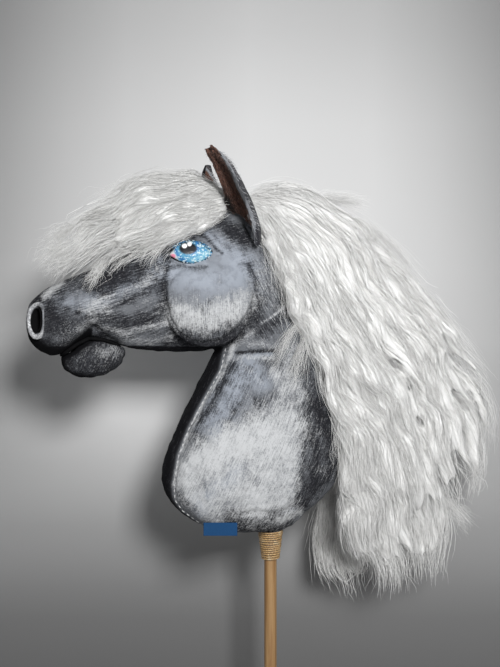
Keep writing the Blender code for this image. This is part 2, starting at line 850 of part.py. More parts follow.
def sheet(name, rows, thickness, lift):
    """A cloth layer over a grid of points; one with a lift lies on the grid's open side."""
    built = bmesh.new()
    grid = [[built.verts.new(place) for place in row] for row in rows]
    for lower, upper in zip(grid, grid[1:]):
        for index in range(len(lower) - 1):
            built.faces.new((lower[index], lower[index + 1], upper[index + 1]))
            built.faces.new((lower[index], upper[index + 1], upper[index]))
    layer = from_bmesh(name, built)
    facing = sum((face.normal * face.area for face in layer.data.polygons), Vector())
    outward = 1 if facing.x > 0 else -1
    normals = [vertex.normal * outward for vertex in layer.data.vertices]
    for vertex, normal in zip(layer.data.vertices, normals):
        vertex.co -= normal * lift
    thick = layer.modifiers.new("thickness", "SOLIDIFY")
    thick.thickness = thickness
    thick.offset = -outward if lift else outward
    thick.use_even_offset = False
    return triangulate(bake(layer))


def make_ear(foot, axis, normal, name, looks):
    """The ear's coat cloth with its sewn foot, and the plush that lines it."""
    rows = ear_grid(foot, axis, normal, name)
    outer = sheet("ear_outer", rows, EAR_CLOTH, 0)
    half = axis * EAR_FOOT_LENGTH / 2
    join(outer, cylinder("ear_foot", foot - half, foot + half, EAR_FOOT_DIAMETER / 2, segments=12))
    finish(outer, "ear_outer_" + name, looks["coat"])
    inner = [drawn_in(row, EAR_RIM_SHARE) for row in rows[1:]]
    inner[-1] = [upper.lerp(lower, EAR_RIM_SHARE) for upper, lower in zip(inner[-1], inner[-2])]
    lining = sheet("ear_lining", inner, EAR_LINING, EAR_LAYER_GAP)
    finish(lining, "ear_lining_" + name, looks["plush"])
    set_pivot(outer, foot)
    set_pivot(lining, foot)


def ear_groove(foot, axis):
    half = axis * (EAR_FOOT_LENGTH / 2 + GAP)
    radius = EAR_FOOT_DIAMETER / 2 + GAP
    return cylinder("ear_groove", foot - half, foot + half, radius / math.cos(math.pi / 16), segments=16)


def weft_path(skin):
    """Points on the crest, from the poll round the skull and down the back of the neck."""
    centre = Vector((head_x(0.80), BESIDE_SEAM, head_z(0.5)))
    path = []
    poll_steps = 6
    for index in range(poll_steps):
        angle = WEFT_START * (1 - index / poll_steps)
        out = Vector((math.cos(angle), 0, math.sin(angle)))
        path.append(skin.meet(centre + out, -out))
    neck_steps = 9
    foot = neck_z(WEFT_FOOT)
    for index in range(neck_steps):
        height = centre.z + (foot - centre.z) * index / (neck_steps - 1)
        path.append(skin.meet((1, BESIDE_SEAM, height), (-1, 0, 0)))
    return path


def weft_place(path, share):
    """The point at a share of the tape's steps."""
    step = share * (len(path) - 1)
    index = min(int(step), len(path) - 2)
    return path[index][0].lerp(path[index + 1][0], step - index)


def weft_body(path, grow, name):
    rings = []
    for place, normal in path:
        half = WEFT_WIDTH / 2 + grow
        out = Vector((normal.x, 0, normal.z)).normalized()
        base = Vector((place.x, 0, place.z))
        foot = base - out * 0.004
        roof = base + out * (GAP + WEFT_THICKNESS + grow)
        corners = ((foot, -half), (foot, half), (roof, half), (roof, -half))
        rings.append([Vector((point.x, y, point.z)) for point, y in corners])
    return loft(name, rings)


def make_forelock(skin, clearance, rooms, looks):
    """Wool sewn between the ears that falls over the forehead."""
    rings = []
    centres = []
    for ahead, rise, half_height, half_width in FORELOCK_SECTIONS:
        place, _ = skin.meet((head_x(FORELOCK_START - ahead), BESIDE_SEAM, 2), (0, 0, -1))
        centres.append(Vector((place.x, 0, place.z + rise)))
        rings.append(ring(centres[-1], Vector((0, half_width, 0)), Vector((0, 0, half_height)), count=12))
    forelock = cut(loft("forelock", rings), clearance, *rooms)
    finish(forelock, "forelock", looks["wool"])
    set_pivot(forelock, centres[0])
    return centres[0]


def bezier(start, control, end, share):
    return start * (1 - share) ** 2 + control * 2 * share * (1 - share) + end * share ** 2


def lock_rings(root, rise, tip, half_width, half_thickness, offset, grow):
    """A lock from its root on the crest over a bend to its hanging tip."""
    side = Vector((0, offset, 0))
    control = Vector((root.x + (tip.x - root.x) * 0.62, 0, root.z + rise))
    rings = []
    steps = 8
    for index in range(steps):
        share = index / (steps - 1)
        place = bezier(root, control, tip, share)
        ahead = bezier(root, control, tip, share + 0.01) - place
        across = Vector((ahead.z, 0, -ahead.x)).normalized()
        swell = 0.45 + 0.55 * math.sin(math.pi * min(share * 1.25, 1) / 2)
        taper = 1 - 0.75 * max((share - 0.7) / 0.3, 0) ** 2
        wide = half_width * swell * taper + grow
        thick = half_thickness * (0.35 + 0.65 * min(share * 3, 1)) * taper + grow
        inward = 0.25 + 0.75 * min(share * 3, 1)
        rings.append(ring(place + side * inward, across * wide, Vector((0, thick, 0))))
    return rings


def make_mane(path, clearance, looks):
    """Locks of wool that hang from the tape, each clear of those made before it."""
    weft_room = weft_body(path, GAP, "weft_room")
    rooms = []
    for name, share, rise, reach, drop, half_width, half_thickness, offset in MANE_LOCKS:
        place = weft_place(path, share)
        root = Vector((place.x + WEFT_THICKNESS, 0, place.z))
        tip = Vector((reach, 0, NECK_FLOOR + drop))
        sizes = (root, rise, tip, half_width, half_thickness, offset)
        lock = triangulate(loft(name, lock_rings(*sizes, 0)))
        cut(lock, clearance, weft_room, *rooms)
        rooms.append(triangulate(loft(name + "_room", lock_rings(*sizes, GAP))))
        finish(lock, name, looks["wool"])


def make_label(skin, looks):
    """A bare ribbon tab that hangs from the base seam at the left front."""
    place, normal = skin.side(LABEL_X, BASE_SEAM, -1)
    out = Vector((normal.x, normal.y, 0)).normalized()
    along = Vector((out.y, -out.x, 0))
    top = place + out * (LABEL_THICKNESS / 2 + GAP)
    top.z = BASE_SEAM
    built = bmesh.new()
    bmesh.ops.create_cube(built, size=1.0)
    size = Matrix.Diagonal((LABEL_WIDTH, LABEL_THICKNESS, LABEL_DROP, 1))
    turn = frame(top, along, out, Vector((0, 0, 1)))
    built.transform(turn @ Matrix.Translation((0, 0, -LABEL_DROP / 2)) @ size)
    half = along * LABEL_WIDTH / 2
    label = from_bmesh("label", built)
    join(label, cylinder("label_fold", top - half, top + half, LABEL_THICKNESS / 2, segments=10))
    finish(label, "label", looks["ribbon"])
    set_pivot(label, top)
    return top, along


def main():
    clear_scene()
    looks = make_looks()
    head, neck, shell, outside = make_forms()
    skin = Skin(outside)
    clearance = make_clearance(head, neck, GAP, "seat_room")
    bore_radius = STICK_RADIUS + GATHER_BORE_CLEARANCE
    bore = cylinder("stick_bore", (0, 0, 0.1), (0, 0, STICK_TOP + GAP), bore_radius, 32)

    openings = {}
    ears = {}
    nostrils = {}
    for name, side in SIDES.items():
        foot, axis, normal = ear_frame(skin, side)
        ears[name] = (foot, axis, normal)
        nostrils[name] = nostril_frame(skin, side)
        openings[name] = (ear_groove(foot, axis), nostril_cup(nostrils[name], GAP, "nostril_pit"))

    make_stick(looks)
    make_winding(looks)
    make_panels(shell, openings, bore, looks)
    make_stuffing(head, neck, openings["left"] + openings["right"], bore, looks)
    make_mouth(head, looks)
    forelock_rooms = []
    for name, side in SIDES.items():
        make_nostril(skin, clearance, nostrils[name], name, looks)
        rooms = make_eye(skin, clearance, eye_frame(skin, side), name, looks)
        forelock_rooms.extend(rooms)
        make_cheek(clearance, rooms, side, name, looks)
        foot, axis, normal = ears[name]
        make_ear(foot, axis, normal, name, looks)
        print(f"ear {name}: foot {tuple(round(v, 5) for v in foot)} axis {tuple(round(v, 5) for v in axis)}")

    path = weft_path(skin)
    weft = cut(weft_body(path, 0, "mane_weft"), clearance)
    finish(weft, "mane_weft", looks["tape"])
    root = make_forelock(skin, clearance, forelock_rooms, looks)
    print(f"forelock: root {tuple(round(v, 5) for v in root)}")
    make_mane(path, clearance, looks)
    top, along = make_label(skin, looks)
    print(f"label: hinge {tuple(round(v, 5) for v in top)} axis {tuple(round(v, 5) for v in along)}")


main()
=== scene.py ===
# %% [markdown]
# # A hobby horse
# A stuffed cloth horse's head on a round stick, hand-painted dapple grey, with a mane of loose white wool.
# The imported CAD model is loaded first. It gives each piece's place, and every finished piece is built on
# it or in place of it.

import math

import bmesh
import bpy
import numpy as np
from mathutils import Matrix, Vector
from mathutils.bvhtree import BVHTree


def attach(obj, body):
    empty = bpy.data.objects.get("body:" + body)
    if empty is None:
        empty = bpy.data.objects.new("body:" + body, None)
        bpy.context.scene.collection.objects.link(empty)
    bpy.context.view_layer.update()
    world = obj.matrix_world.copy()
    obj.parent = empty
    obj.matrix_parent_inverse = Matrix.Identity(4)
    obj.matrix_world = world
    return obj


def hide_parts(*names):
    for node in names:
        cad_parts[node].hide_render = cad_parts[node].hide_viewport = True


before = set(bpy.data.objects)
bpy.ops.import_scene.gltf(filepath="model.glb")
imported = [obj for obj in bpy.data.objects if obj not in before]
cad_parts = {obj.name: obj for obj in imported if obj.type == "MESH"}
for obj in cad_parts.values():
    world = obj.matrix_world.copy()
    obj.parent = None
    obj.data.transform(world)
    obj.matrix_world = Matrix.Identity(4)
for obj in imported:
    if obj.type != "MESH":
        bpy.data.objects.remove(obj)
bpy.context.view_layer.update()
bpy.ops.object.select_all(action="DESELECT")
print("nodes in the CAD model:", len(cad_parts))

# %% [markdown]
# ## The camera
# The horse is seen level, from its left and a little from ahead. The camera is worked out as a pinhole: how
# far away it stands, how far it is turned, and how many pixels one radian covers. The same numbers give two
# helpers. `seen` tells at which pixel a point shows, and `placed` finds the point that shows at a pixel.
# Paint and wool can then be laid where they show.

# %% Camera
VIEW_WIDTH = 500
VIEW_HEIGHT = 667
FOCAL_PIXELS = 965.5
TURN = math.radians(-15)
AWAY = 1.4
EYE_LEVEL = 0.912
ASIDE = 0.0296
SENSOR = 36
RIGHT = np.array((math.cos(TURN), math.sin(TURN), 0))
AHEAD = np.array((-math.sin(TURN), math.cos(TURN), 0))
ACROSS_MIDDLE = VIEW_WIDTH / 2
DOWN_MIDDLE = VIEW_HEIGHT / 2


def seen(points):
    """Pixels across and down at which points show."""
    points = np.asarray(points)
    depth = AWAY + points @ AHEAD
    across = ACROSS_MIDDLE + FOCAL_PIXELS * (points @ RIGHT + ASIDE) / depth
    down = DOWN_MIDDLE - FOCAL_PIXELS * (points[..., 2] - EYE_LEVEL) / depth
    return across, down


def placed(across, down, y):
    """The points that show at pixels and lie y metres from the horse's middle plane."""
    slope = (np.asarray(across) - ACROSS_MIDDLE) / FOCAL_PIXELS
    x = (slope * (AWAY + AHEAD[1] * y) - RIGHT[1] * y - ASIDE) / (RIGHT[0] - AHEAD[0] * slope)
    depth = AWAY + AHEAD[0] * x + AHEAD[1] * y
    z = EYE_LEVEL + (DOWN_MIDDLE - np.asarray(down)) / FOCAL_PIXELS * depth
    return np.stack(np.broadcast_arrays(x, y, z), axis=-1)


stand = -AWAY * AHEAD - ASIDE * RIGHT
bpy.ops.object.camera_add(
    location=(stand[0], stand[1], EYE_LEVEL),
    rotation=(math.pi / 2, 0, TURN),
)
camera = bpy.context.object
camera.data.sensor_width = SENSOR
camera.data.lens = SENSOR * FOCAL_PIXELS / VIEW_HEIGHT
bpy.context.scene.camera = camera
print("camera at", [round(v, 3) for v in camera.location], "lens", round(camera.data.lens, 2))

# %% [markdown]
# ## Materials
# Every finish is a small network of nodes. Helpers keep them short: `finish` starts a material, `add` puts
# a node in it, `mixed` blends two colours, `grain` is stretched noise, and `kept` reads back a value that
# was stored for every point of a piece.

# %% Material helpers
def finish(name, **sockets):
    """A new material: the material, its node tree and its shader."""
    material = bpy.data.materials.new(name)
    material.use_nodes = True
    tree = material.node_tree
    shader = tree.nodes["Principled BSDF"]
    for socket, value in sockets.items():
        shader.inputs[socket.replace("_", " ")].default_value = value
    return material, tree, shader


def add(tree, kind, inputs=(), **settings):
    """Adds a node, sets its properties, and joins or sets its inputs."""
    node = tree.nodes.new("ShaderNode" + kind)
    for name, value in settings.items():
        setattr(node, name, value)
    for name, value in dict(inputs).items():
        if isinstance(value, bpy.types.NodeSocket):
            tree.links.new(value, node.inputs[name])
        else:
            node.inputs[name].default_value = value
    return node


def mixed(tree, share, first, second):
    """Mixes two colours by a share from 0 to 1."""
    first, second = ((*colour, 1) if isinstance(colour, tuple) else colour for colour in (first, second))
    return add(tree, "Mix", {0: share, 6: first, 7: second}, data_type="RGBA").outputs[2]


def ranged(tree, value, low, high, to_low=0.0, to_high=1.0, smooth=True):
    """Maps a value from one range to another."""
    node = add(
        tree,
        "MapRange",
        {"Value": value, "From Min": low, "From Max": high, "To Min": to_low, "To Max": to_high},
        interpolation_type="SMOOTHSTEP" if smooth else "LINEAR",
    )
    return node.outputs["Result"]


def reckoned(tree, operation, first, second):
    """A Math node's value."""
    return add(tree, "Math", {0: first, 1: second}, operation=operation).outputs[0]


def grain(tree, place, scale, turn=0, detail=3, roughness=0.5):
    """Noise with so many marks to the metre in each direction, turned about Y by some degrees."""
    sizes = [1 / marks for marks in scale]
    turned = {"Vector": place, "Rotation": (0, math.radians(turn), 0), "Scale": sizes}
    turned = add(tree, "Mapping", turned, vector_type="TEXTURE").outputs[0]
    noise = {"Vector": turned, "Scale": 1, "Detail": detail, "Roughness": roughness}
    return add(tree, "TexNoise", noise).outputs["Fac"]


def raised(tree, shader, height, distance, strength=1.0):
    """Gives a surface relief."""
    bump = add(tree, "Bump", {"Height": height, "Distance": distance, "Strength": strength})
    tree.links.new(bump.outputs[0], shader.inputs["Normal"])


def object_place(tree):
    """Places in the piece's own coordinates, in metres."""
    return add(tree, "TexCoord").outputs["Object"]


def kept(tree, name):
    """A value that was stored for every point of the piece."""
    return add(tree, "Attribute", attribute_name=name).outputs["Fac"]


def kept_colour(tree, name):
    """A colour that was stored for every point of the piece."""
    return add(tree, "Attribute", attribute_name=name).outputs["Color"]


def kept_values(tree, name):
    """Three values that were stored together as a colour."""
    return list(add(tree, "SeparateColor", {"Color": kept_colour(tree, name)}).outputs)


def blended(tree, share, first, second):
    """Mixes two values by a share from 0 to 1."""
    return add(tree, "Mix", {0: share, 2: first, 3: second}, data_type="FLOAT").outputs[0]


def coloured(tree, shader, colour):
    """Gives a surface its colour."""
    tree.links.new(colour, shader.inputs["Base Color"])


def two_toned(name, scale, low, high, relief=0.0, detail=3, **sockets):
    """A whole finish for plain things: one noise gives it two tones and, where wanted, its relief."""
    material, tree, shader = finish(name, **sockets)
    marks = grain(tree, object_place(tree), scale, detail=detail)
    coloured(tree, shader, mixed(tree, marks, low, high))
    if relief:
        raised(tree, shader, marks, relief)
    return material


print("material helpers are ready")

# %% [markdown]
# ## The room
# The toy hangs in front of a plain wall. Its colour carries painted light falloff: paler above than below,
# and darker towards both sides. The wall and the floor are stage, not part of the object. The wall's back
# is clear, so that it hides nothing when the camera goes round.

# %% Wall, floor and light
WALL_BEHIND = 0.17
WALL_WIDTH = 9
WALL_HEIGHT = 6
WALL_SPAN = (0.35, 1.55)
WALL_FALLOFF_TONES = (
    # height, grey of the painted light falloff
    (0.35, 0.118), (0.45, 0.150), (0.50, 0.190), (0.60, 0.300), (0.70, 0.480), (0.80, 0.700), (0.90, 0.770),
    (1.02, 0.740), (1.25, 0.620), (1.40, 0.490), (1.55, 0.390),
)
EDGE_TONES = (
    # metres aside, share of the light
    (0, 1.0), (0.2, 0.88), (0.3, 0.72), (0.4, 0.52), (0.6, 0.25),
)
EDGE_HEIGHTS = (0.50, 0.85)
LAMPS = (
    # name; metres aside, above and nearer than the toy; size in metres; watts
    ("key_light", 0.47, 0.68, 2.0, 0.50, 53),
    ("fill_light", -1.3, 0.5, 2.2, 1.8, 3.5),
    ("back_light", -0.9, 0.8, -2.2, 1.8, 16),
)
LIT_POINT = (0, 0, 0.9)
ROOM_COLOUR = (0.86, 0.88, 0.90, 1)
ROOM_LIGHT = 0.165

floor_tones = (0.46, 0.46, 0.46), (0.50, 0.50, 0.50)
floor_paint = two_toned("pale_floor", (9, 9, 9), *floor_tones, detail=2, Roughness=0.9)
bpy.ops.mesh.primitive_plane_add(size=WALL_WIDTH)
floor = bpy.context.object
floor.name = "floor"
floor.data.materials.append(floor_paint)

wall_paint, tree, shader = finish("pale_wall", Roughness=0.95)
geometry = add(tree, "NewGeometry").outputs
height = add(tree, "SeparateXYZ", {"Vector": geometry["Position"]}).outputs["Z"]


def tone_ramp(tree, value, low, high, stops):
    """Greys along a value, given as pairs of value and grey."""
    node = add(tree, "ValToRGB", {"Fac": ranged(tree, value, low, high, smooth=False)})
    elements = node.color_ramp.elements
    for stop, _ in stops[1:-1]:
        elements.new((stop - low) / (high - low))
    for element, (_, tone) in zip(elements, stops):
        element.color = (tone, tone, tone, 1)
    return node.outputs[0]


# painted light falloff: paler above than below, dimmed towards both sides
upright = tone_ramp(tree, height, *WALL_SPAN, WALL_FALLOFF_TONES)
aside = {0: geometry["Position"], 1: tuple(RIGHT)}
aside = add(tree, "VectorMath", aside, operation="DOT_PRODUCT").outputs["Value"]
aside = reckoned(tree, "ABSOLUTE", reckoned(tree, "ADD", aside, ASIDE), 0)
edges = tone_ramp(tree, aside, 0, EDGE_TONES[-1][0], EDGE_TONES)
edges = mixed(tree, ranged(tree, height, *EDGE_HEIGHTS), (1, 1, 1), edges)
dimmed = add(tree, "Mix", {0: 1.0, 6: upright, 7: edges}, data_type="RGBA", blend_type="MULTIPLY")
coloured(tree, shader, dimmed.outputs[2])
clear = add(tree, "BsdfTransparent").outputs[0]
sides = add(tree, "MixShader", {0: geometry["Backfacing"], 1: shader.outputs[0], 2: clear}).outputs[0]
tree.links.new(sides, tree.nodes["Material Output"].inputs["Surface"])
middle = WALL_BEHIND * AHEAD
bpy.ops.mesh.primitive_plane_add(
    size=1,
    location=(middle[0], middle[1], WALL_HEIGHT / 2),
    rotation=(math.pi / 2, 0, TURN),
)
wall = bpy.context.object
wall.name = "wall"
wall.scale = (WALL_WIDTH, WALL_HEIGHT, 1)
wall.data.materials.append(wall_paint)
wall.visible_shadow = False
wall.visible_diffuse = False

for name, aside, above, nearer, size, watts in LAMPS:
    spot = np.array(LIT_POINT) + aside * RIGHT - nearer * AHEAD
    spot[2] += above
    bpy.ops.object.light_add(type="AREA", location=spot)
    light = bpy.context.object
    light.name = name
    light.data.size = size
    light.data.energy = watts
    light.rotation_euler = (Vector(LIT_POINT) - light.location).to_track_quat("-Z", "Y").to_euler()

world = bpy.data.worlds.new("pale_room")
world.use_nodes = True
background = world.node_tree.nodes["Background"].inputs
background["Color"].default_value = ROOM_COLOUR
background["Strength"].default_value = ROOM_LIGHT
bpy.context.scene.world = world
bpy.context.scene.view_settings.view_transform = "Standard"
print("stage: floor, wall and three lamps")

# %% [markdown]
# ## Working on a mesh
# A soft piece starts as a copy of the CAD solids that it stands for. Their facets are melted together by a
# voxel remesh, as cloth lies over stuffing, and then smoothed. Points are moved afterwards in code, like
# working with a sculpting brush. These helpers do that for every piece.

# %% Mesh helpers
LUMP_WAVES = 14


def new_object(name, mesh):
    """Puts a mesh into the scene as a named piece."""
    item = bpy.data.objects.new(name, mesh)
    bpy.context.scene.collection.objects.link(item)
    return item


def copied(name, *nodes):
    """One new object of copies of CAD nodes, with their loose triangles merged."""
    built = bmesh.new()
    for node in nodes:
        built.from_mesh(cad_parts[node].data)
    bmesh.ops.remove_doubles(built, verts=built.verts, dist=0.00001)
    mesh = bpy.data.meshes.new(name)
    built.to_mesh(mesh)
    built.free()
    return new_object(name, mesh)


def applied(item, kind, **settings):
    """Adds a modifier to a piece and applies it."""
    bpy.ops.object.select_all(action="DESELECT")
    item.select_set(True)
    bpy.context.view_layer.objects.active = item
    bpy.ops.object.modifier_add(type=kind)
    modifier = item.modifiers[-1]
    for name, value in settings.items():
        setattr(modifier, name, value)
    bpy.ops.object.modifier_apply(modifier=modifier.name)


def points_of(item):
    """The places of a piece's points, as rows of x, y and z."""
    points = np.empty(len(item.data.vertices) * 3)
    item.data.vertices.foreach_get("co", points)
    return points.reshape(-1, 3)


def normals_of(item):
    """The directions in which a piece's points face."""
    normals = np.empty(len(item.data.vertices) * 3)
    item.data.vertex_normals.foreach_get("vector", normals)
    return normals.reshape(-1, 3)


def move_points(item, points):
    """Sets the places of a piece's points."""
    item.data.vertices.foreach_set("co", np.ascontiguousarray(points, dtype=np.float32).ravel())
    item.data.update()


def store(item, name, values):
    """Keeps one value or colour for each point as an attribute."""
    values = np.asarray(values, dtype=np.float32)
    if values.ndim == 1:
        item.data.attributes.new(name, "FLOAT", "POINT").data.foreach_set("value", values)
    else:
        values = np.column_stack((values, np.ones(len(values)))).astype(np.float32)
        item.data.attributes.new(name, "FLOAT_COLOR", "POINT").data.foreach_set("color", values.ravel())


def melted(item, voxel, smoothing=6):
    """Remeshes a piece into one even skin, keeps its largest shell, and smooths it."""
    applied(item, "REMESH", mode="VOXEL", voxel_size=voxel)
    built = bmesh.new()
    built.from_mesh(item.data)
    shells = []
    waiting = set(built.verts)
    while waiting:
        shell = [waiting.pop()]
        for vertex in shell:
            for edge in vertex.link_edges:
                other = edge.other_vert(vertex)
                if other in waiting:
                    waiting.remove(other)
                    shell.append(other)
        shells.append(shell)
    shells.sort(key=len)
    bmesh.ops.delete(built, geom=[v for shell in shells[:-1] for v in shell], context="VERTS")
    built.to_mesh(item.data)
    built.free()
    applied(item, "SMOOTH", factor=0.5, iterations=smoothing)
    item.data.polygons.foreach_set("use_smooth", [True] * len(item.data.polygons))
    return item


def surface_tree(item):
    """A search tree of a piece's faces."""
    faces = [tuple(face.vertices) for face in item.data.polygons]
    return BVHTree.FromPolygons(points_of(item).tolist(), faces)


def dress(item, material, body="horse"):
    """Gives a piece its material and lets it ride on a body."""
    item.data.materials.clear()
    item.data.materials.append(material)
    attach(item, body)


def line_distance(across, down, line):
    """Distance in pixels from points to a line of corners."""
    near = np.full(np.shape(across), np.inf)
    line = np.asarray(line, float)
    for start, end in zip(line[:-1], line[1:]):
        step = end - start
        right, below = across - start[0], down - start[1]
        share = np.clip((right * step[0] + below * step[1]) / (step @ step), 0, 1)
        near = np.minimum(near, np.hypot(right - share * step[0], below - share * step[1]))
    return near


def nearness(across, down, line, width):
    """1 on a line, and falling away on both sides of it."""
    return np.exp(-((line_distance(across, down, line) / width) ** 2))


def line_at(down, line):
    """How far across a line of corners passes at each height."""
    corners_across, corners_down = np.array(line, float).T
    return np.interp(down, corners_down, corners_across)


def near_side(points):
    """Points of both sides, turned over to the near side."""
    return points * (1, 0, 1) - np.abs(points) * (0, 1, 0)


def lumps(points, size, seed):
    """Slow noise from -1 to 1: a sum of waves in many directions."""
    chance = np.random.default_rng(seed)
    total = np.zeros(len(points))
    for _ in range(LUMP_WAVES):
        direction = chance.normal(size=3)
        direction /= np.linalg.norm(direction)
        rate = 2 * math.pi / size * chance.uniform(0.6, 1.5)
        total += np.sin(points @ direction * rate + chance.uniform(0, 2 * math.pi))
    return total / math.sqrt(LUMP_WAVES)


print("mesh helpers are ready")

# %% [markdown]
# ## The coat
# The head and neck are sewn from short-pile cloth and packed hard with stuffing. Panels, stuffing, cheeks
# and lids are remeshed together, so that the cloth runs over them without a break. Seams, folds and the
# groove round each cheek are pressed in afterwards, because remeshing and smoothing would blur them.

# %% Coat form
COAT_NODES = (
    "side_panel_left",
    "side_panel_right",
    "forehead_gusset",
    "throat_gusset",
    "base_panel",
    "head_stuffing",
    "neck_stuffing",
    "cheek_left",
    "cheek_right",
    "eyelid_upper_left",
    "eyelid_upper_right",
    "eyelid_lower_left",
    "eyelid_lower_right",
)
COAT_VOXEL = 0.0020
MOUTH_FOLD = ((58, 362), (72, 348), (88, 334))
MOUTH_FOLD_WIDTH = 6.0
MOUTH_FOLD_DEPTH = 0.0040
GATHER_TOP = 0.668
GATHER_HEIGHT = 0.05
GATHER_DEPTH = 0.0013
GATHERS = 17
CHEEK_EDGE = (
    (167, 268), (164, 280), (165, 300), (169, 318), (177, 332), (190, 341), (204, 344),
    (222, 341), (238, 330), (250, 313), (256, 295), (255, 279), (249, 266),
)
FRONT_SEAM = (
    (226, 347), (221, 370), (204, 400), (189, 429), (179, 455),
    (174, 484), (175, 500), (183, 511), (200, 523),
)
PRESSED = (
    # line, width in pixels, depth in metres
    (CHEEK_EDGE, 2.6, 0.0035),
    (((90, 326), (98, 331), (108, 339), (124, 348)), 3.0, 0.0045),
    (FRONT_SEAM, 1.8, 0.0016),
    (((236, 353), (250, 352), (278, 351)), 2.0, 0.0032),
    (((244, 364), (255, 373), (267, 385)), 2.2, 0.0016),
    (((196, 232), (207, 238), (217, 250), (229, 253)), 1.8, 0.0016),
    (((166, 269), (180, 265), (195, 268), (206, 267)), 2.4, 0.0014),
    (((262, 322), (272, 316), (284, 307)), 1.6, 0.0012),
    (((240, 515), (258, 512), (276, 515), (292, 508)), 3.0, 0.0022),
    (((176, 431), (180, 432), (186, 434)), 2.5, 0.0016),
    (((246, 500), (250, 488), (252, 478)), 2.5, 0.0012),
    (((262, 502), (264, 488), (263, 480)), 2.5, 0.0010),
    (((285, 500), (280, 488), (276, 478)), 2.5, 0.0010),
)
RAISED = (
    # line, width in pixels, height in metres
    (((240, 345), (258, 344), (276, 345)), 4.0, 0.0018),
    (((240, 359), (256, 359), (272, 359)), 3.5, 0.0014),
    (((215, 243), (226, 251), (240, 256)), 6.0, 0.0012),
    (((190, 300), (215, 300)), 26.0, 0.0016),
    (((222, 375), (236, 398)), 14.0, 0.0014),
)

coat = melted(copied("coat", *COAT_NODES), COAT_VOXEL, smoothing=9)
points = points_of(coat)
normals = normals_of(coat)
across, down = seen(near_side(points))
sideways = np.clip(np.abs(normals[:, 1]) * 1.6, 0, 1)
push = np.zeros(len(points))
for line, width, depth in PRESSED:
    push -= depth * nearness(across, down, line, width)
for line, width, depth in RAISED:
    push += depth * nearness(across, down, line, width)
push *= sideways
push -= MOUTH_FOLD_DEPTH * nearness(across, down, MOUTH_FOLD, MOUTH_FOLD_WIDTH)
push += 0.0007 * lumps(points, 0.040, 3) + 0.0003 * lumps(points, 0.014, 4)
gathered = np.clip((GATHER_TOP - points[:, 2]) / GATHER_HEIGHT, 0, 1)
angle = np.arctan2(points[:, 1], points[:, 0])
push += GATHER_DEPTH * gathered * np.sin(angle * GATHERS + 2 * np.sin(angle * 3))
move_points(coat, points + normals * push[:, None])
print("coat:", len(coat.data.vertices), "points")
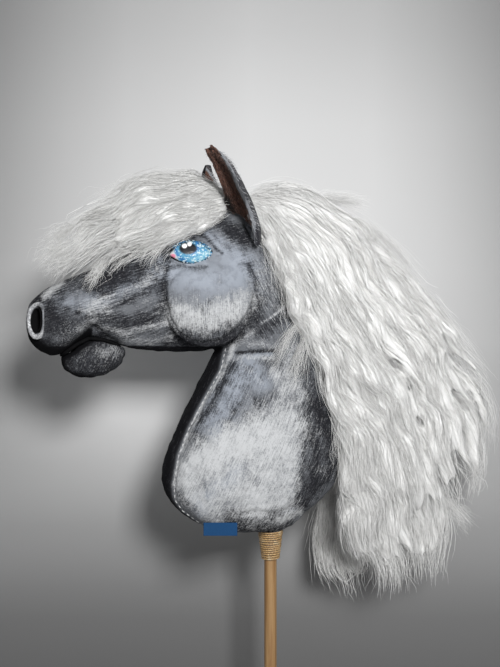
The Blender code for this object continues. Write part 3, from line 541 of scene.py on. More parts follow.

# %% [markdown]
# ## The paint
# The coat is dapple grey: a lavender grey ground, charcoal rubbed in along the folds and seams, and white
# dragged over it with a nearly dry brush. Where the charcoal follows a pressed crease, the jaw or the
# forelock's edge, it is deepened as painted shade; a few white rows are painted highlights on ridges.
# Each patch is a line in the picture with a width and a strength.
# Three amounts come out of them for every point. The material then breaks the amounts into brush strokes.

# %% Paint patches
CHARCOAL = (
    # line, width in pixels, strength
    # charcoal along the cheek's groove, deepened as painted shade
    (CHEEK_EDGE, 2.2, 0.80),
    (((38, 300), (50, 286), (62, 277), (80, 270), (95, 267)), 4.0, 0.85),
    (((34, 304), (41, 298), (44, 296)), 3.0, 0.9),
    (((48, 302), (51, 315), (49, 332)), 4.5, 0.55),
    (((30, 338), (40, 350), (52, 357), (60, 357)), 6.5, 1.0),
    (((44, 343), (60, 350), (66, 347)), 6.0, 0.85),
    (((58, 315), (62, 325)), 9.0, 0.45),
    (((100, 286), (120, 277), (140, 270)), 8.0, 0.60),
    (((88, 290), (106, 284), (126, 278)), 4.0, 0.70),
    (((102, 296), (116, 289)), 1.4, 0.75),
    (((106, 309), (130, 300), (150, 291), (164, 282)), 3.4, 0.65),
    (((96, 317), (120, 321), (150, 318), (165, 311)), 6.5, 0.75),
    (((158, 281), (162, 300), (164, 318)), 5.5, 0.55),
    # this row and the next: charcoal in the mouth's corner fold, partly painted shade
    (((90, 324), (96, 325), (100, 332), (103, 338)), 2.4, 0.9),
    (((97, 338), (108, 342), (118, 347)), 2.6, 0.8),
    (((104, 330), (125, 326), (150, 323)), 3.0, 0.35),
    # painted shade along the underside of the jaw
    (((120, 350), (165, 349), (217, 348)), 3.2, 0.95),
    (((165, 343), (176, 338), (190, 346), (225, 346), (240, 336)), 4.0, 0.75),
    # charcoal in the crease under the eye, partly painted shade
    (((166, 269), (180, 266), (195, 268), (206, 267)), 2.2, 0.55),
    (((161, 246), (165, 252), (168, 257)), 5.0, 0.85),
    (((169, 241), (185, 236), (200, 235)), 4.0, 0.8),
    # this row and the next: charcoal in the upper lid creases, partly painted shade
    (((196, 232), (207, 238), (217, 250), (222, 253)), 2.0, 0.75),
    (((201, 227), (212, 233), (222, 245), (232, 251)), 2.2, 0.45),
    (((200, 221), (222, 226), (242, 242)), 5.0, 0.7),
    (((205, 214), (228, 222), (243, 240)), 7.0, 0.65),
    (((246, 236), (262, 240), (282, 262)), 8.0, 0.75),
    (((252, 262), (266, 275), (278, 300), (270, 322)), 11.0, 0.40),
    (((258, 300), (256, 318), (240, 334)), 6.0, 0.75),
    (((262, 332), (280, 322), (288, 300), (286, 270)), 9.0, 0.55),
    # painted shade in the fold across the top of the neck
    (((236, 353), (250, 351.5), (278, 350.5)), 1.5, 1.0),
    (((233, 364), (222, 383), (212, 404), (201, 420)), 4.0, 0.75),
    (((190, 438), (196, 428), (200, 445)), 6.0, 0.55),
    (((258, 400), (262, 412), (252, 420)), 7.0, 0.5),
    (((238, 405), (228, 425), (222, 436)), 3.0, 0.45),
    (((270, 360), (290, 368), (300, 350)), 7.0, 0.45),
    (((302, 352), (308, 380), (318, 400)), 8.0, 0.65),
    (((318, 405), (330, 430), (345, 452)), 13.0, 0.95),
    (((308, 425), (316, 455), (312, 480)), 9.0, 0.78),
    (((303, 505), (312, 490), (330, 470), (342, 452)), 9.0, 0.85),
    (((297, 500), (302, 470), (304, 440)), 3.0, 0.45),
    (((236, 519), (256, 522), (277, 519)), 8.0, 0.62),
    (((230, 517), (245, 513), (262, 514)), 4.0, 0.55),
    (((272, 516), (277, 520)), 4.0, 1.0),
    (((176, 488), (184, 500), (196, 509)), 2.5, 0.6),
    (((249, 457), (256, 463)), 2.5, 0.5),
    (((248, 486), (256, 498)), 3.5, 0.30),
    (((219, 486), (226, 494)), 4.0, 0.25),
    (((200, 305), (204, 313)), 1.6, 0.5),
    (((209, 303), (214, 318)), 4.0, 0.42),
    (((233, 304), (236, 309)), 2.6, 0.75),
    (((226, 323), (232, 317)), 2.6, 0.75),
    (((174, 320), (181, 323)), 3.4, 0.65),
    (((178, 331), (192, 337), (214, 338), (232, 330)), 7.5, 0.60),
    (((182, 316), (205, 325), (234, 316)), 7.5, 0.50),
    (((186, 318), (187, 332)), 1.0, 0.6),
    (((191, 324), (192, 336)), 1.0, 0.7),
    (((196, 316), (197, 328)), 1.0, 0.6),
    (((201, 322), (201, 336)), 1.0, 0.7),
    (((206, 326), (207, 339)), 1.0, 0.6),
    (((212, 320), (213, 335)), 1.0, 0.7),
    (((218, 324), (219, 338)), 1.0, 0.6),
    (((224, 314), (224, 326)), 1.0, 0.5),
    (((229, 318), (231, 330)), 1.0, 0.6),
    (((180, 312), (181, 324)), 1.0, 0.5),
    (((238, 376), (230, 396), (218, 412)), 14.0, 0.42),
    # charcoal with the forelock's shadow painted in
    (((96, 281), (128, 270), (160, 258)), 9.0, 0.62),
    (((60, 292), (78, 286), (98, 279)), 5.5, 0.46),
    (((232, 522), (256, 526), (284, 521)), 9.0, 0.92),
    (((258, 370), (275, 395), (290, 400)), 14.0, 0.22),
    (((166, 304), (170, 308)), 3.0, 0.6),
    (((50, 322), (75, 338), (90, 346)), 13.0, 0.66),
    (((56, 305), (84, 322)), 12.0, 0.42),
    (((104, 292), (135, 284), (158, 276)), 12.0, 0.42),
    (((100, 334), (135, 334), (175, 330)), 9.0, 0.45),
    # charcoal with the forelock's shadow painted in
    (((60, 282), (90, 274), (125, 262)), 9.0, 0.45),
    (((66, 308), (68, 309)), 1.5, 0.95),
    (((77, 312), (79, 313)), 1.5, 0.95),
    (((87, 317), (89, 318)), 1.5, 0.95),
)
WHITE = (
    (((44, 297), (52, 289), (61, 283)), 3.4, 0.80),
    (((90, 308), (98, 305), (104, 309)), 7.0, 0.52),
    (((80, 330), (88, 323), (94, 320)), 3.4, 0.42),
    (((100, 300), (125, 292), (150, 281)), 4.5, 0.33),
    (((100, 327), (125, 333), (150, 327), (166, 322)), 3.4, 0.42),
    (((112, 345), (128, 341), (150, 342), (172, 338)), 3.6, 0.36),
    (((65, 335), (84, 338)), 8.0, 0.22),
    (((150, 276), (160, 270)), 7.0, 0.30),
    (((172, 312), (200, 314), (236, 306), (248, 298)), 11.0, 0.55),
    (((184, 320), (206, 324), (234, 314)), 10.0, 0.60),
    # painted highlight along the crease behind the cheek
    (((262, 323), (272, 317), (284, 307)), 1.2, 0.55),
    (((252, 332), (240, 342), (232, 348)), 3.5, 0.45),
    (((262, 270), (272, 285), (280, 305)), 9.0, 0.36),
    # this row and the next are painted highlights on the ridges either side of the neck fold
    (((250, 345), (262, 344), (276, 348)), 3.4, 0.36),
    (((236, 358), (255, 357), (272, 358)), 2.8, 0.45),
    (((238, 362), (252, 372), (262, 384)), 2.6, 0.30),
    (((232, 347), (230, 356), (224, 366)), 2.6, 0.60),
    (((222, 372), (206, 398), (192, 425), (182, 450)), 2.2, 0.62),
    (((295, 350), (288, 370), (300, 395)), 8.0, 0.55),
    (((274, 372), (284, 390)), 6.0, 0.50),
    (((282, 408), (300, 425)), 9.0, 0.60),
    (((236, 448), (262, 425), (278, 440)), 17.0, 0.72),
    (((188, 466), (212, 448), (230, 440)), 13.0, 0.68),
    (((262, 450), (270, 480), (262, 505)), 17.0, 0.72),
    (((180, 478), (190, 495), (215, 512)), 11.0, 0.66),
    (((212, 466), (228, 488), (250, 500)), 16.0, 0.66),
    (((292, 452), (290, 480), (286, 504)), 8.0, 0.62),
    (((300, 512), (288, 516), (280, 521)), 4.0, 0.62),
    (((318, 432), (313, 445)), 4.0, 0.25),
    (((322, 470), (334, 462)), 6.0, 0.20),
)
LAVENDER = (
    (((172, 272), (205, 280), (240, 275)), 15.0, 1.0),
    (((218, 246), (232, 256), (243, 264)), 9.0, 1.0),
    (((202, 230), (214, 240), (226, 248)), 4.0, 0.9),
    (((158, 268), (166, 263), (172, 263)), 5.0, 0.8),
    (((188, 265), (205, 262)), 3.0, 0.8),
    (((62, 302), (85, 301), (105, 295)), 7.0, 0.50),
    (((120, 288), (150, 276)), 8.0, 0.45),
    (((238, 376), (230, 396), (218, 412)), 13.0, 1.0),
    (((250, 366), (262, 382)), 8.0, 0.8),
    (((245, 355), (270, 354)), 2.4, 0.8),
    (((236, 469), (232, 480), (216, 488), (209, 498)), 6.0, 0.6),
    (((196, 498), (203, 511)), 4.5, 0.8),
    (((205, 425), (214, 430)), 8.0, 0.5),
)
PATCH_SPREAD = 1.3
SLIT = ((56, 361), (72, 348), (90, 332))
CHIN_EDGE = ((27, 329), (35, 342), (46, 350), (58, 354), (66, 353))
THROAT_TOP = 346
CHEEK_MIDDLE = (210, 305)
CHEEK_REACH = 45
MUZZLE_MIDDLE = (72, 334)
MUZZLE_REACH = (30, 17)
NECK_TOP = 352
BEHIND_CHEEK = 254
print("rows of paint:", len(CHARCOAL) + len(WHITE) + len(LAVENDER))

# %% [markdown]
# The amounts are worked out for every point of the coat, from where it shows in the picture. The gusset
# ahead of the front seam stays a plain dark cloth. The black along the mouth's slit and the chin's edge is
# painted shade, over the dark paint of the muzzle.

# %% Paint amounts
def patches(across, down, rows):
    """How much of a paint each point takes, from 0 to 1."""
    bare = np.ones(len(across))
    for line, width, strength in rows:
        bare *= 1 - strength * nearness(across, down, line, width * PATCH_SPREAD)
    return 1 - bare


def past(value, edge, width):
    """0 before an edge and 1 past it, with a soft step between."""
    return 1 / (1 + np.exp((edge - value) / width))


def within(across, down, middle, reach_across, reach_down):
    """1 in an oval patch and 0 outside it, softly."""
    return np.exp(-(np.hypot((across - middle[0]) / reach_across, (down - middle[1]) / reach_down) ** 4))


across, down = seen(near_side(points_of(coat)))
gusset = (1 - past(across, line_at(down, FRONT_SEAM) - 2.0, 0.7)) * (down > THROAT_TOP)
# painted shade: black in the mouth's slit and under the chin's edge
black = nearness(across, down, SLIT, 4.8) * (across < 92)
black = np.clip(1.5 * np.maximum(black, nearness(across, down, CHIN_EDGE, 4.4)), 0, 1)
amounts = [patches(across, down, rows) * (1 - gusset) for rows in (CHARCOAL, WHITE, LAVENDER)]
on_cheek = within(across, down, CHEEK_MIDDLE, CHEEK_REACH, CHEEK_REACH)
on_neck = past(down, NECK_TOP, 4)
behind = past(across, BEHIND_CHEEK, 4) * (1 - on_neck)
speckled = within(across, down, MUZZLE_MIDDLE, *MUZZLE_REACH)
store(coat, "paint", np.column_stack(amounts))
store(coat, "strokes", np.column_stack((on_cheek, on_neck, behind)))
store(coat, "cloths_and_mouth_shade", np.column_stack((gusset, speckled, black)))
print("mean charcoal, white and lavender:", [round(float(amount.mean()), 2) for amount in amounts])

# %% [markdown]
# The material draws the strokes. Noise stretched in four directions gives brush marks along the face, up
# and down on the cheek, and slanting behind it and on the neck. Where a mark and the amount of paint
# together pass a limit, the paint has caught on the pile. A fine noise raises the pile itself.

# %% Coat material
CHARCOAL_PAINT = (0.014, 0.014, 0.017)
WHITE_PAINT = (0.60, 0.61, 0.62)
GREY_GROUND = (0.160, 0.168, 0.182)
LAVENDER_GROUND = (0.335, 0.365, 0.415)
DARK_BLOTCH = (0.085, 0.088, 0.098)
PALE_NAP = (0.36, 0.37, 0.40)
GUSSET_TONES = ((0.010, 0.010, 0.012), (0.085, 0.086, 0.095))
MOUTH_SHADE_BLACK = (0.006, 0.006, 0.007)
ALONG_FACE, UP_CHEEK, ON_NECK, BEHIND = -18, 0, 25, -30
FINE = 640


def caught(tree, amount, marks, uneven):
    """How much paint the marks take up, from 0 to 1, softly."""
    total = add(tree, "Math", {0: amount, 1: 1.22, 2: -0.22}, operation="MULTIPLY_ADD").outputs[0]
    total = add(tree, "Math", {0: marks, 1: 1.25, 2: total}, operation="MULTIPLY_ADD").outputs[0]
    total = reckoned(tree, "ADD", reckoned(tree, "SUBTRACT", total, 0.625), uneven)
    return ranged(tree, total, -0.08, 1.0)


coat_paint, tree, shader = finish("painted_coat_cloth", Roughness=0.95, Specular_IOR_Level=0.05)
place = object_place(tree)
charcoal, white, lavender = kept_values(tree, "paint")
on_cheek, on_neck, behind = kept_values(tree, "strokes")
gusset, speckled, black = kept_values(tree, "cloths_and_mouth_shade")
marks = grain(tree, place, (56, 180, FINE), turn=ALONG_FACE, detail=5, roughness=0.72)
for share, turn in ((on_cheek, UP_CHEEK), (on_neck, ON_NECK), (behind, BEHIND)):
    other = grain(tree, place, (FINE, 180, 60), turn=turn, detail=5, roughness=0.72)
    marks = blended(tree, share, marks, other)
specks = grain(tree, place, (800, 800, 800), detail=4, roughness=0.75)
marks = ranged(tree, blended(tree, speckled, marks, specks), 0.32, 0.68, smooth=False)
pile = grain(tree, place, (1300, 1300, 1300), detail=3, roughness=0.7)
mottled = grain(tree, place, (420, 420, 420), detail=4, roughness=0.75)
mottled = ranged(tree, mottled, 0.32, 0.68, smooth=False)
broken = blended(tree, 0.42, marks, mottled)
blotches = grain(tree, place, (70, 70, 70), detail=4, roughness=0.65)
uneven = ranged(tree, blotches, 0.30, 0.70, -0.22, 0.22, smooth=False)

dark_caught = reckoned(tree, "MULTIPLY", caught(tree, charcoal, broken, uneven), 0.96)
white_caught = caught(tree, white, reckoned(tree, "SUBTRACT", 1.0, broken), uneven)
white_caught = reckoned(tree, "MULTIPLY", white_caught, 0.90)
ground = mixed(tree, lavender, GREY_GROUND, LAVENDER_GROUND)
ground = mixed(tree, ranged(tree, blotches, 0.40, 0.72, 0, 0.40), ground, DARK_BLOTCH)
ground = mixed(tree, ranged(tree, broken, 0.35, 0.05, 0, 0.40), ground, PALE_NAP)
painted = mixed(tree, dark_caught, ground, CHARCOAL_PAINT)
painted = mixed(tree, white_caught, painted, WHITE_PAINT)
gusset_cloth = mixed(tree, ranged(tree, broken, 0.55, 0.95, 0, 0.6), *GUSSET_TONES)
painted = mixed(tree, gusset, painted, gusset_cloth)
# painted shade of the mouth, in black
painted = mixed(tree, black, painted, MOUTH_SHADE_BLACK)
coloured(tree, shader, painted)
pile = reckoned(tree, "MULTIPLY", pile, 0.8)
relief = reckoned(tree, "ADD", pile, reckoned(tree, "MULTIPLY", marks, 0.35))
raised(tree, shader, relief, 0.0011, 0.8)
dress(coat, coat_paint)
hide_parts(*COAT_NODES)
print("coat is painted")

# %% [markdown]
# ## Places on the coat
# Thread and creases lie on the cloth, so a place in the picture has to be found on the coat's surface. A
# ray from the camera through the pixel meets the coat there. The far side takes the mirrored place.

# %% Finding the coat
COAT_ROOM = 0.02
coat_tree = surface_tree(coat)
coat_low = points_of(coat).min(axis=0) - COAT_ROOM
coat_high = points_of(coat).max(axis=0) + COAT_ROOM


def on_coat(across, down, side):
    """The place and the normal of the coat that shows at a pixel, or those of its mirrored place."""
    through = Vector(placed(across, down, 0.0)) - camera.location
    spot, normal, _, _ = coat_tree.ray_cast(camera.location, through.normalized())
    if side == "right":
        spot, normal, _, _ = coat_tree.find_nearest(Vector((spot.x, -spot.y, spot.z)))
    return spot, normal


spot, normal = on_coat(174, 484, "left")
print("the front seam passes", [round(value, 3) for value in spot])

# %% [markdown]
# ## Lip and mouth
# The lower lip is a stuffed pad sewn under the muzzle. It takes the coat's paint and its own dark edges.
# Its black along the slit and along its underside is painted shade.

# %% Lower lip
LIP_RISE = 0.0020
LIP_FORWARD = 0.0026
LIP_LEAST_DARK = 0.84
lip = melted(copied("lip_pad", "lower_lip"), 0.0014, smoothing=8)
points = points_of(lip)
points += normals_of(lip) * (0.0006 * lumps(points, 0.016, 8))[:, None]
across, down = seen(near_side(points))
open_share = np.clip((92 - across) / 30, 0, 1)
above_middle = np.clip((362 - down) / 14, 0, 1)
points[:, 2] += LIP_RISE * open_share * above_middle
points[:, 0] -= LIP_FORWARD * np.clip((74 - across) / 10, 0, 1)
move_points(lip, points)
LIP_DARK = (
    (((60, 366), (72, 374), (86, 377), (100, 373)), 5.0, 1.0),
    (SLIT, 4.5, 1.0),
    (((94, 334), (110, 342), (124, 349)), 3.0, 0.9),
    (((60, 345), (60, 372)), 4.0, 1.0),
    (((92, 345), (97, 352)), 2.0, 0.7),
)
LIP_WHITE = (
    (((78, 358), (90, 350), (100, 360)), 9.0, 0.16),
    (((105, 352), (116, 352)), 6.0, 0.42),
)
# painted shade: black along the slit above the lip and under the lip
LIP_SLIT_SHADE = ((60, 368), (63, 357), (74, 350), (91, 337))
LIP_UNDERSIDE_SHADE = ((62, 368), (72, 377), (90, 379))
LIP_SPECKLED = 0.35
zeros = np.zeros(len(points))
charcoal = np.maximum(patches(across, down, LIP_DARK), LIP_LEAST_DARK)
black = np.maximum(nearness(across, down, LIP_SLIT_SHADE, 6.0), nearness(across, down, LIP_UNDERSIDE_SHADE, 3.5))
black = np.clip(1.6 * black, 0, 1)
store(lip, "paint", np.column_stack((charcoal, patches(across, down, LIP_WHITE), zeros)))
store(lip, "strokes", np.column_stack((zeros, zeros + 1, zeros)))
store(lip, "cloths_and_mouth_shade", np.column_stack((zeros, zeros + LIP_SPECKLED, black)))
dress(lip, coat_paint)
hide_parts("lower_lip")
print("lip:", len(lip.data.vertices), "points")

# %% [markdown]
# Black cloth fills the slit above the lip. It is drawn wider and longer than its CAD piece, so that no
# light falls through the mouth.

# %% Mouth
MOUTH_WIDER = 1.85
MOUTH_LONGER = 1.12
MOUTH_THICKER = 0.0018
BLACK_TONES = ((0.002, 0.002, 0.002), (0.009, 0.009, 0.010))
black_cloth = two_toned(
    "black_lining_cloth", (900, 900, 900), *BLACK_TONES, 0.0004, Roughness=0.95, Specular_IOR_Level=0.05
)
mouth = melted(copied("mouth_slit_cloth", "mouth_lining"), 0.001, smoothing=3)
points = points_of(mouth)
points[:, 1] *= MOUTH_WIDER
points[:, 0] = points[:, 0].max() - (points[:, 0].max() - points[:, 0]) * MOUTH_LONGER
points += normals_of(mouth) * MOUTH_THICKER
move_points(mouth, points)
dress(mouth, black_cloth)
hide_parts("mouth_lining")
print("mouth:", len(mouth.data.vertices), "points")

# %% [markdown]
# ## Nostrils
# Each nostril is an oval pit lined with black cloth inside a small stuffed rim, brushed nearly white. The
# rim's upper back part is painted grey as shade.

# %% Nostrils
RIM_SHARES = (0.76, 0.92)
PIT_SHARES = (0.80, 0.95)
RIM_BACK = 0.0036
RIM_LOWER = 0.0022
rim_paint, tree, shader = finish("pale_rim_cloth", Roughness=0.9, Sheen_Weight=0.1)
dabs = grain(tree, object_place(tree), (300, 300, 300), detail=4, roughness=0.7)
share = ranged(tree, dabs, 0.40, 0.62)
pale = mixed(tree, share, (0.26, 0.265, 0.28), (0.68, 0.69, 0.70))
grey = mixed(tree, share, (0.10, 0.105, 0.115), (0.30, 0.31, 0.33))
# the grey tone is painted shade on the rim
coloured(tree, shader, mixed(tree, kept(tree, "shade_and_wear"), pale, grey))
raised(tree, shader, dabs, 0.0008)


def drawn_slim(item, share_across, share_up):
    """Narrows a piece along the picture's two directions about its own middle."""
    points = points_of(item)
    middle = (points.min(axis=0) + points.max(axis=0)) / 2
    offset = points - middle
    reach = offset[:, 0] * RIGHT[0]
    points[:, 0] += (share_across - 1) * reach * RIGHT[0]
    points[:, 2] += (share_up - 1) * offset[:, 2]
    move_points(item, points)


for side in ("left", "right"):
    rim = melted(copied("nostril_edge_" + side, "nostril_rim_" + side), 0.0008, smoothing=4)
    drawn_slim(rim, *RIM_SHARES)
    points = points_of(rim)
    across, down = seen(near_side(points))
    points[:, 0] -= RIM_BACK * np.clip((across - 42) / 5, 0, 1) * RIGHT[0]
    points[:, 2] -= RIM_LOWER * np.clip((309 - down) / 8, 0, 1)
    move_points(rim, points)
    # painted shade: grey on the rim's upper back part
    store(rim, "shade_and_wear", np.clip((across - 36) / 6, 0, 1) * np.clip((334 - down) / 6, 0, 1))
    dress(rim, rim_paint)
    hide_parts("nostril_rim_" + side)
    lining = melted(copied("nostril_pit_" + side, "nostril_lining_" + side), 0.0008, smoothing=3)
    drawn_slim(lining, *PIT_SHARES)
    dress(lining, black_cloth)
    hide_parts("nostril_lining_" + side)
print("nostrils: 2 rims and 2 linings")

# %% [markdown]
# ## Eyes
# The eye is a shallow bulge, painted in light blues and varnished. Its picture is simple shapes: an iris
# of broken blues, a wide pupil with two dabs of light, a pink corner, and a dark lash line. The colour of
# every point is worked out in code, because no brush stroke here is wider than a few points.

# %% Eyes
PUPIL = (188, 248.5)
IRIS = (193, 249)
UPPER_LINE = ((169, 252), (178, 244), (190, 239.5), (200, 240), (207, 244), (214, 252))
LASH_DOTS = ((184, 262.6), (192, 263.8), (198, 262.8), (204, 260.8), (208.5, 257.4), (211.5, 253.8))
LASH_LINE = ((170, 257), (179, 262), (192, 264.3), (204, 261.5), (213, 254))
LASH_BLACK = (0.006, 0.006, 0.008)
GLINT = (0.9, 0.9, 0.9)
IRIS_BLUE = (0.10, 0.30, 0.45)
IRIS_STROKES = (
    # line, width in pixels, colour
    (((196, 262), (208, 254)), 5, (0.24, 0.48, 0.58)),
    (((196, 240), (205, 242.5), (213, 249)), 4.2, (0.012, 0.035, 0.065)),
    (((174, 247), (178, 256), (186, 262)), 1.4, (0.01, 0.09, 0.28)),
    (((197, 242), (198, 248), (193, 253)), 1.5, (0.01, 0.14, 0.42)),
)
PUPIL_DABS = (
    # middle, half the width, half the height, colour
    (PUPIL, 9.0, 5.8, (0.005, 0.005, 0.008)),
    ((184.5, 245.8), 2.6, 2.4, GLINT),
    ((189.5, 243.6), 2.2, 2.6, GLINT),
)
CORNER_WHITE = (0.62, 0.64, 0.65)
CORNER_PINK = ((172.8, 256.2), 2.8, 2.4, (0.72, 0.24, 0.34))


def over(colour, share, paint):
    """Lays paint over colours."""
    share = np.clip(share, 0, 1)[:, None]
    return colour * (1 - share) + np.array(paint) * share


def oval(across, down, middle, half_width, half_height, edge=0.18):
    """1 inside an oval and 0 outside it."""
    reach = np.hypot((across - middle[0]) / half_width, (down - middle[1]) / half_height)
    return 1 / (1 + np.exp((reach - 1) / edge * 4))


varnish, tree, shader = finish(
    "varnished_eye_paint", Roughness=0.5, Specular_IOR_Level=0.2, Coat_Weight=0.04, Coat_Roughness=0.1
)
flecks = {"Vector": object_place(tree), "Scale": 560, "Randomness": 1.0}
flecks = add(tree, "TexVoronoi", flecks).outputs["Color"]
flecks = add(tree, "SeparateColor", {"Color": flecks}).outputs[0]
glitter = kept(tree, "glitter")
bright = reckoned(tree, "MULTIPLY", ranged(tree, flecks, 0.66, 0.86), glitter)
deep = reckoned(tree, "MULTIPLY", ranged(tree, flecks, 0.34, 0.12), glitter)
colour = mixed(tree, bright, kept_colour(tree, "eye_paint"), (0.50, 0.64, 0.69))
colour = mixed(tree, reckoned(tree, "MULTIPLY", deep, 0.7), colour, (0.05, 0.24, 0.48))
coloured(tree, shader, colour)

for side in ("left", "right"):
    eye = melted(copied("painted_eye_" + side, "eye_" + side), 0.0006, smoothing=6)
    across, down = seen(near_side(points_of(eye)))
    colour = np.tile(IRIS_BLUE, (len(across), 1))
    for line, width, paint in IRIS_STROKES:
        colour = over(colour, nearness(across, down, line, width), paint)
    for *dab, paint in PUPIL_DABS:
        colour = over(colour, oval(across, down, *dab), paint)
    corner = 1 - past(across, 176.5 + (down - 256) * 0.55, 0.5)
    colour = over(colour, corner, CORNER_WHITE)
    colour = over(colour, oval(across, down, *CORNER_PINK[:3]), CORNER_PINK[3])
    colour = over(colour, 1.4 * nearness(across, down, LASH_LINE, 1.5), LASH_BLACK)
    colour = over(colour, 1.4 * nearness(across, down, UPPER_LINE, 1.9), LASH_BLACK)
    for dot in LASH_DOTS:
        colour = over(colour, oval(across, down, dot, 0.7, 0.7), (0.6, 0.6, 0.6))
    iris = oval(across, down, IRIS, 21, 15) * (1 - corner) * (1 - oval(across, down, PUPIL, 10.0, 6.4))
    store(eye, "eye_paint", colour)
    store(eye, "glitter", iris)
    dress(eye, varnish)
    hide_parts("eye_" + side)
print("eyes:", len(eye.data.vertices), "points each")

# %% [markdown]
# ## Strands
# Fur, thread and wool are thin tubes round lines of points. Each tube gets its own cell of a UV map, so
# that its finish can run along it. A second helper keeps strands from sinking into what they lie on.

# %% Strand maker
def run_along(line):
    """How far along a line each of its points is."""
    return np.concatenate(((0,), np.cumsum(np.linalg.norm(np.diff(line, axis=0), axis=1))))


def even_line(line, count):
    """Points at even distances along a smooth line through the given ones."""
    run = run_along(line)
    even = np.linspace(0, run[-1], count)
    smooth = np.column_stack([np.interp(even, run, line[:, axis]) for axis in range(3)])
    for _ in range(3):
        smooth[1:-1] = (smooth[:-2] + 2 * smooth[1:-1] + smooth[2:]) / 4
    return smooth


def cross_frames(lines):
    """Two directions square to lines of points, for each point. Lines: (number, points, 3)."""
    along = np.gradient(lines, axis=1)
    along /= np.linalg.norm(along, axis=2, keepdims=True) + 1e-12
    first = np.cross(along, np.array((0.31, 1.0, 0.17)))
    first /= np.linalg.norm(first, axis=2, keepdims=True) + 1e-12
    return first, np.cross(along, first)


def tubes(lines, radii, sides):
    """Rings round lines of points, as vertices and faces."""
    first, second = cross_frames(lines)
    turns = np.linspace(0, 2 * math.pi, sides, endpoint=False)
    ring = (
        first[:, :, None, :] * np.cos(turns)[None, None, :, None]
        + second[:, :, None, :] * np.sin(turns)[None, None, :, None]
    )
    vertices = lines[:, :, None, :] + ring * radii[:, :, None, None]
    number, steps = lines.shape[:2]
    index = np.arange(number * steps * sides).reshape(number, steps, sides)
    after = np.roll(index, -1, axis=2)
    quads = np.stack((index[:, :-1], after[:, :-1], after[:, 1:], index[:, 1:]), axis=-1)
    return vertices.reshape(-1, 3), quads.reshape(-1, 4)


def strands(name, bundles):
    """One piece of many strands. A bundle is lines, radii, sides, and a tint for each strand."""
    total = sum(len(lines) for lines, _, _, _ in bundles)
    columns = math.ceil(math.sqrt(total))
    points, faces, tints, maps = [], [], [], []
    made = base = 0
    for lines, radii, sides, tint in bundles:
        number, steps = lines.shape[:2]
        vertices, quads = tubes(lines, radii, sides)
        points.append(vertices)
        faces.append(quads + base)
        base += len(vertices)
        tints.append(np.repeat(tint, steps * sides))
        cell = made + np.arange(number)
        ring_u = np.tile(np.linspace(0, 0.8, sides), steps)
        ring_v = np.repeat(np.linspace(0, 0.8, steps), sides)
        u = (cell % columns)[:, None] + ring_u[None, :]
        v = (cell // columns)[:, None] + ring_v[None, :]
        maps.append(np.column_stack((u.ravel(), v.ravel())) / columns)
        made += number
    points, faces, tints, maps = (np.concatenate(group) for group in (points, faces, tints, maps))
    mesh = bpy.data.meshes.new(name)
    mesh.vertices.add(len(points))
    mesh.vertices.foreach_set("co", points.astype(np.float32).ravel())
    mesh.loops.add(faces.size)
    mesh.loops.foreach_set("vertex_index", faces.astype(np.int32).ravel())
    mesh.polygons.add(len(faces))
    mesh.polygons.foreach_set("loop_start", np.arange(0, faces.size, 4, dtype=np.int32))
    mesh.polygons.foreach_set("use_smooth", np.ones(len(faces), dtype=bool))
    mesh.update(calc_edges=True)
    item = new_object(name, mesh)
    store(item, "tint", tints)
    layer = mesh.uv_layers.new(name="OFBake")
    layer.data.foreach_set("uv", maps[faces.ravel()].astype(np.float32).ravel())
    return item


def kept_off(points, room, tree=None, reach=0.06):
    """Lifts points that are in a surface, or nearer to it than some room. No tree means the coat."""
    flat = points.reshape(-1, 3).copy()
    chosen = np.ones(len(flat), dtype=bool)
    if tree is None:
        tree = coat_tree
        chosen = np.all((flat > coat_low) & (flat < coat_high), axis=1)
    rooms = np.broadcast_to(room, points.shape[:-1]).ravel()
    for number in np.flatnonzero(chosen):
        place, normal, _, _ = tree.find_nearest(flat[number], reach)
        if place is not None and (Vector(flat[number]) - place).dot(normal) < rooms[number]:
            flat[number] = place + normal * rooms[number]
    return flat.reshape(points.shape)


print("strand helpers are ready")

# %% [markdown]
# ## Stitches
# The front seams are closed with white thread. Each stitch is a short tube that dips into the cloth at
# both ends.

# %% Stitches
STITCHES = 34
STITCH_SHARE = 0.62
STITCH_HEIGHT = 0.0005
STITCH_RADII = 0.00055 * np.array((0.1, 1, 1.1, 1, 0.1))
THREAD_TONES = ((0.50, 0.50, 0.50), (0.74, 0.74, 0.73))
thread_paint = two_toned("white_thread", (1500, 1500, 1500), *THREAD_TONES, Roughness=0.7)
seam_line = np.array(FRONT_SEAM, float)
seam_run = run_along(seam_line)
stitch_lines = []
for side in ("left", "right"):
    for number in range(STITCHES):
        line = []
        for step in np.linspace(0, STITCH_SHARE, len(STITCH_RADII)):
            run = (number + 0.2 + step) / STITCHES * seam_run[-1]
            across, down = (np.interp(run, seam_run, seam_line[:, axis]) for axis in (0, 1))
            spot, normal = on_coat(across, down, side)
            line.append(spot + normal * STITCH_HEIGHT * math.sin(math.pi * step / STITCH_SHARE))
        stitch_lines.append(line)
stitch_lines = np.array(stitch_lines)
radii = np.tile(STITCH_RADII, (len(stitch_lines), 1))
stitches = strands("front_seam_stitches", ((stitch_lines, radii, 6, np.ones(len(stitch_lines))),))
dress(stitches, thread_paint)
print("stitches:", len(stitch_lines))

# %% [markdown]
# ## Ears
# Each ear is a cupped leaf of coat cloth outside and brown plush inside, and it rides on its own body. The
# near ear's edges are shifted to where they show in the picture. Paint follows the line where plush and
# cloth meet, and painted shade darkens the deep fold inside the cup to near black. Short bent hairs stand
# on both: brown ones on the plush, a pale fringe along the line.

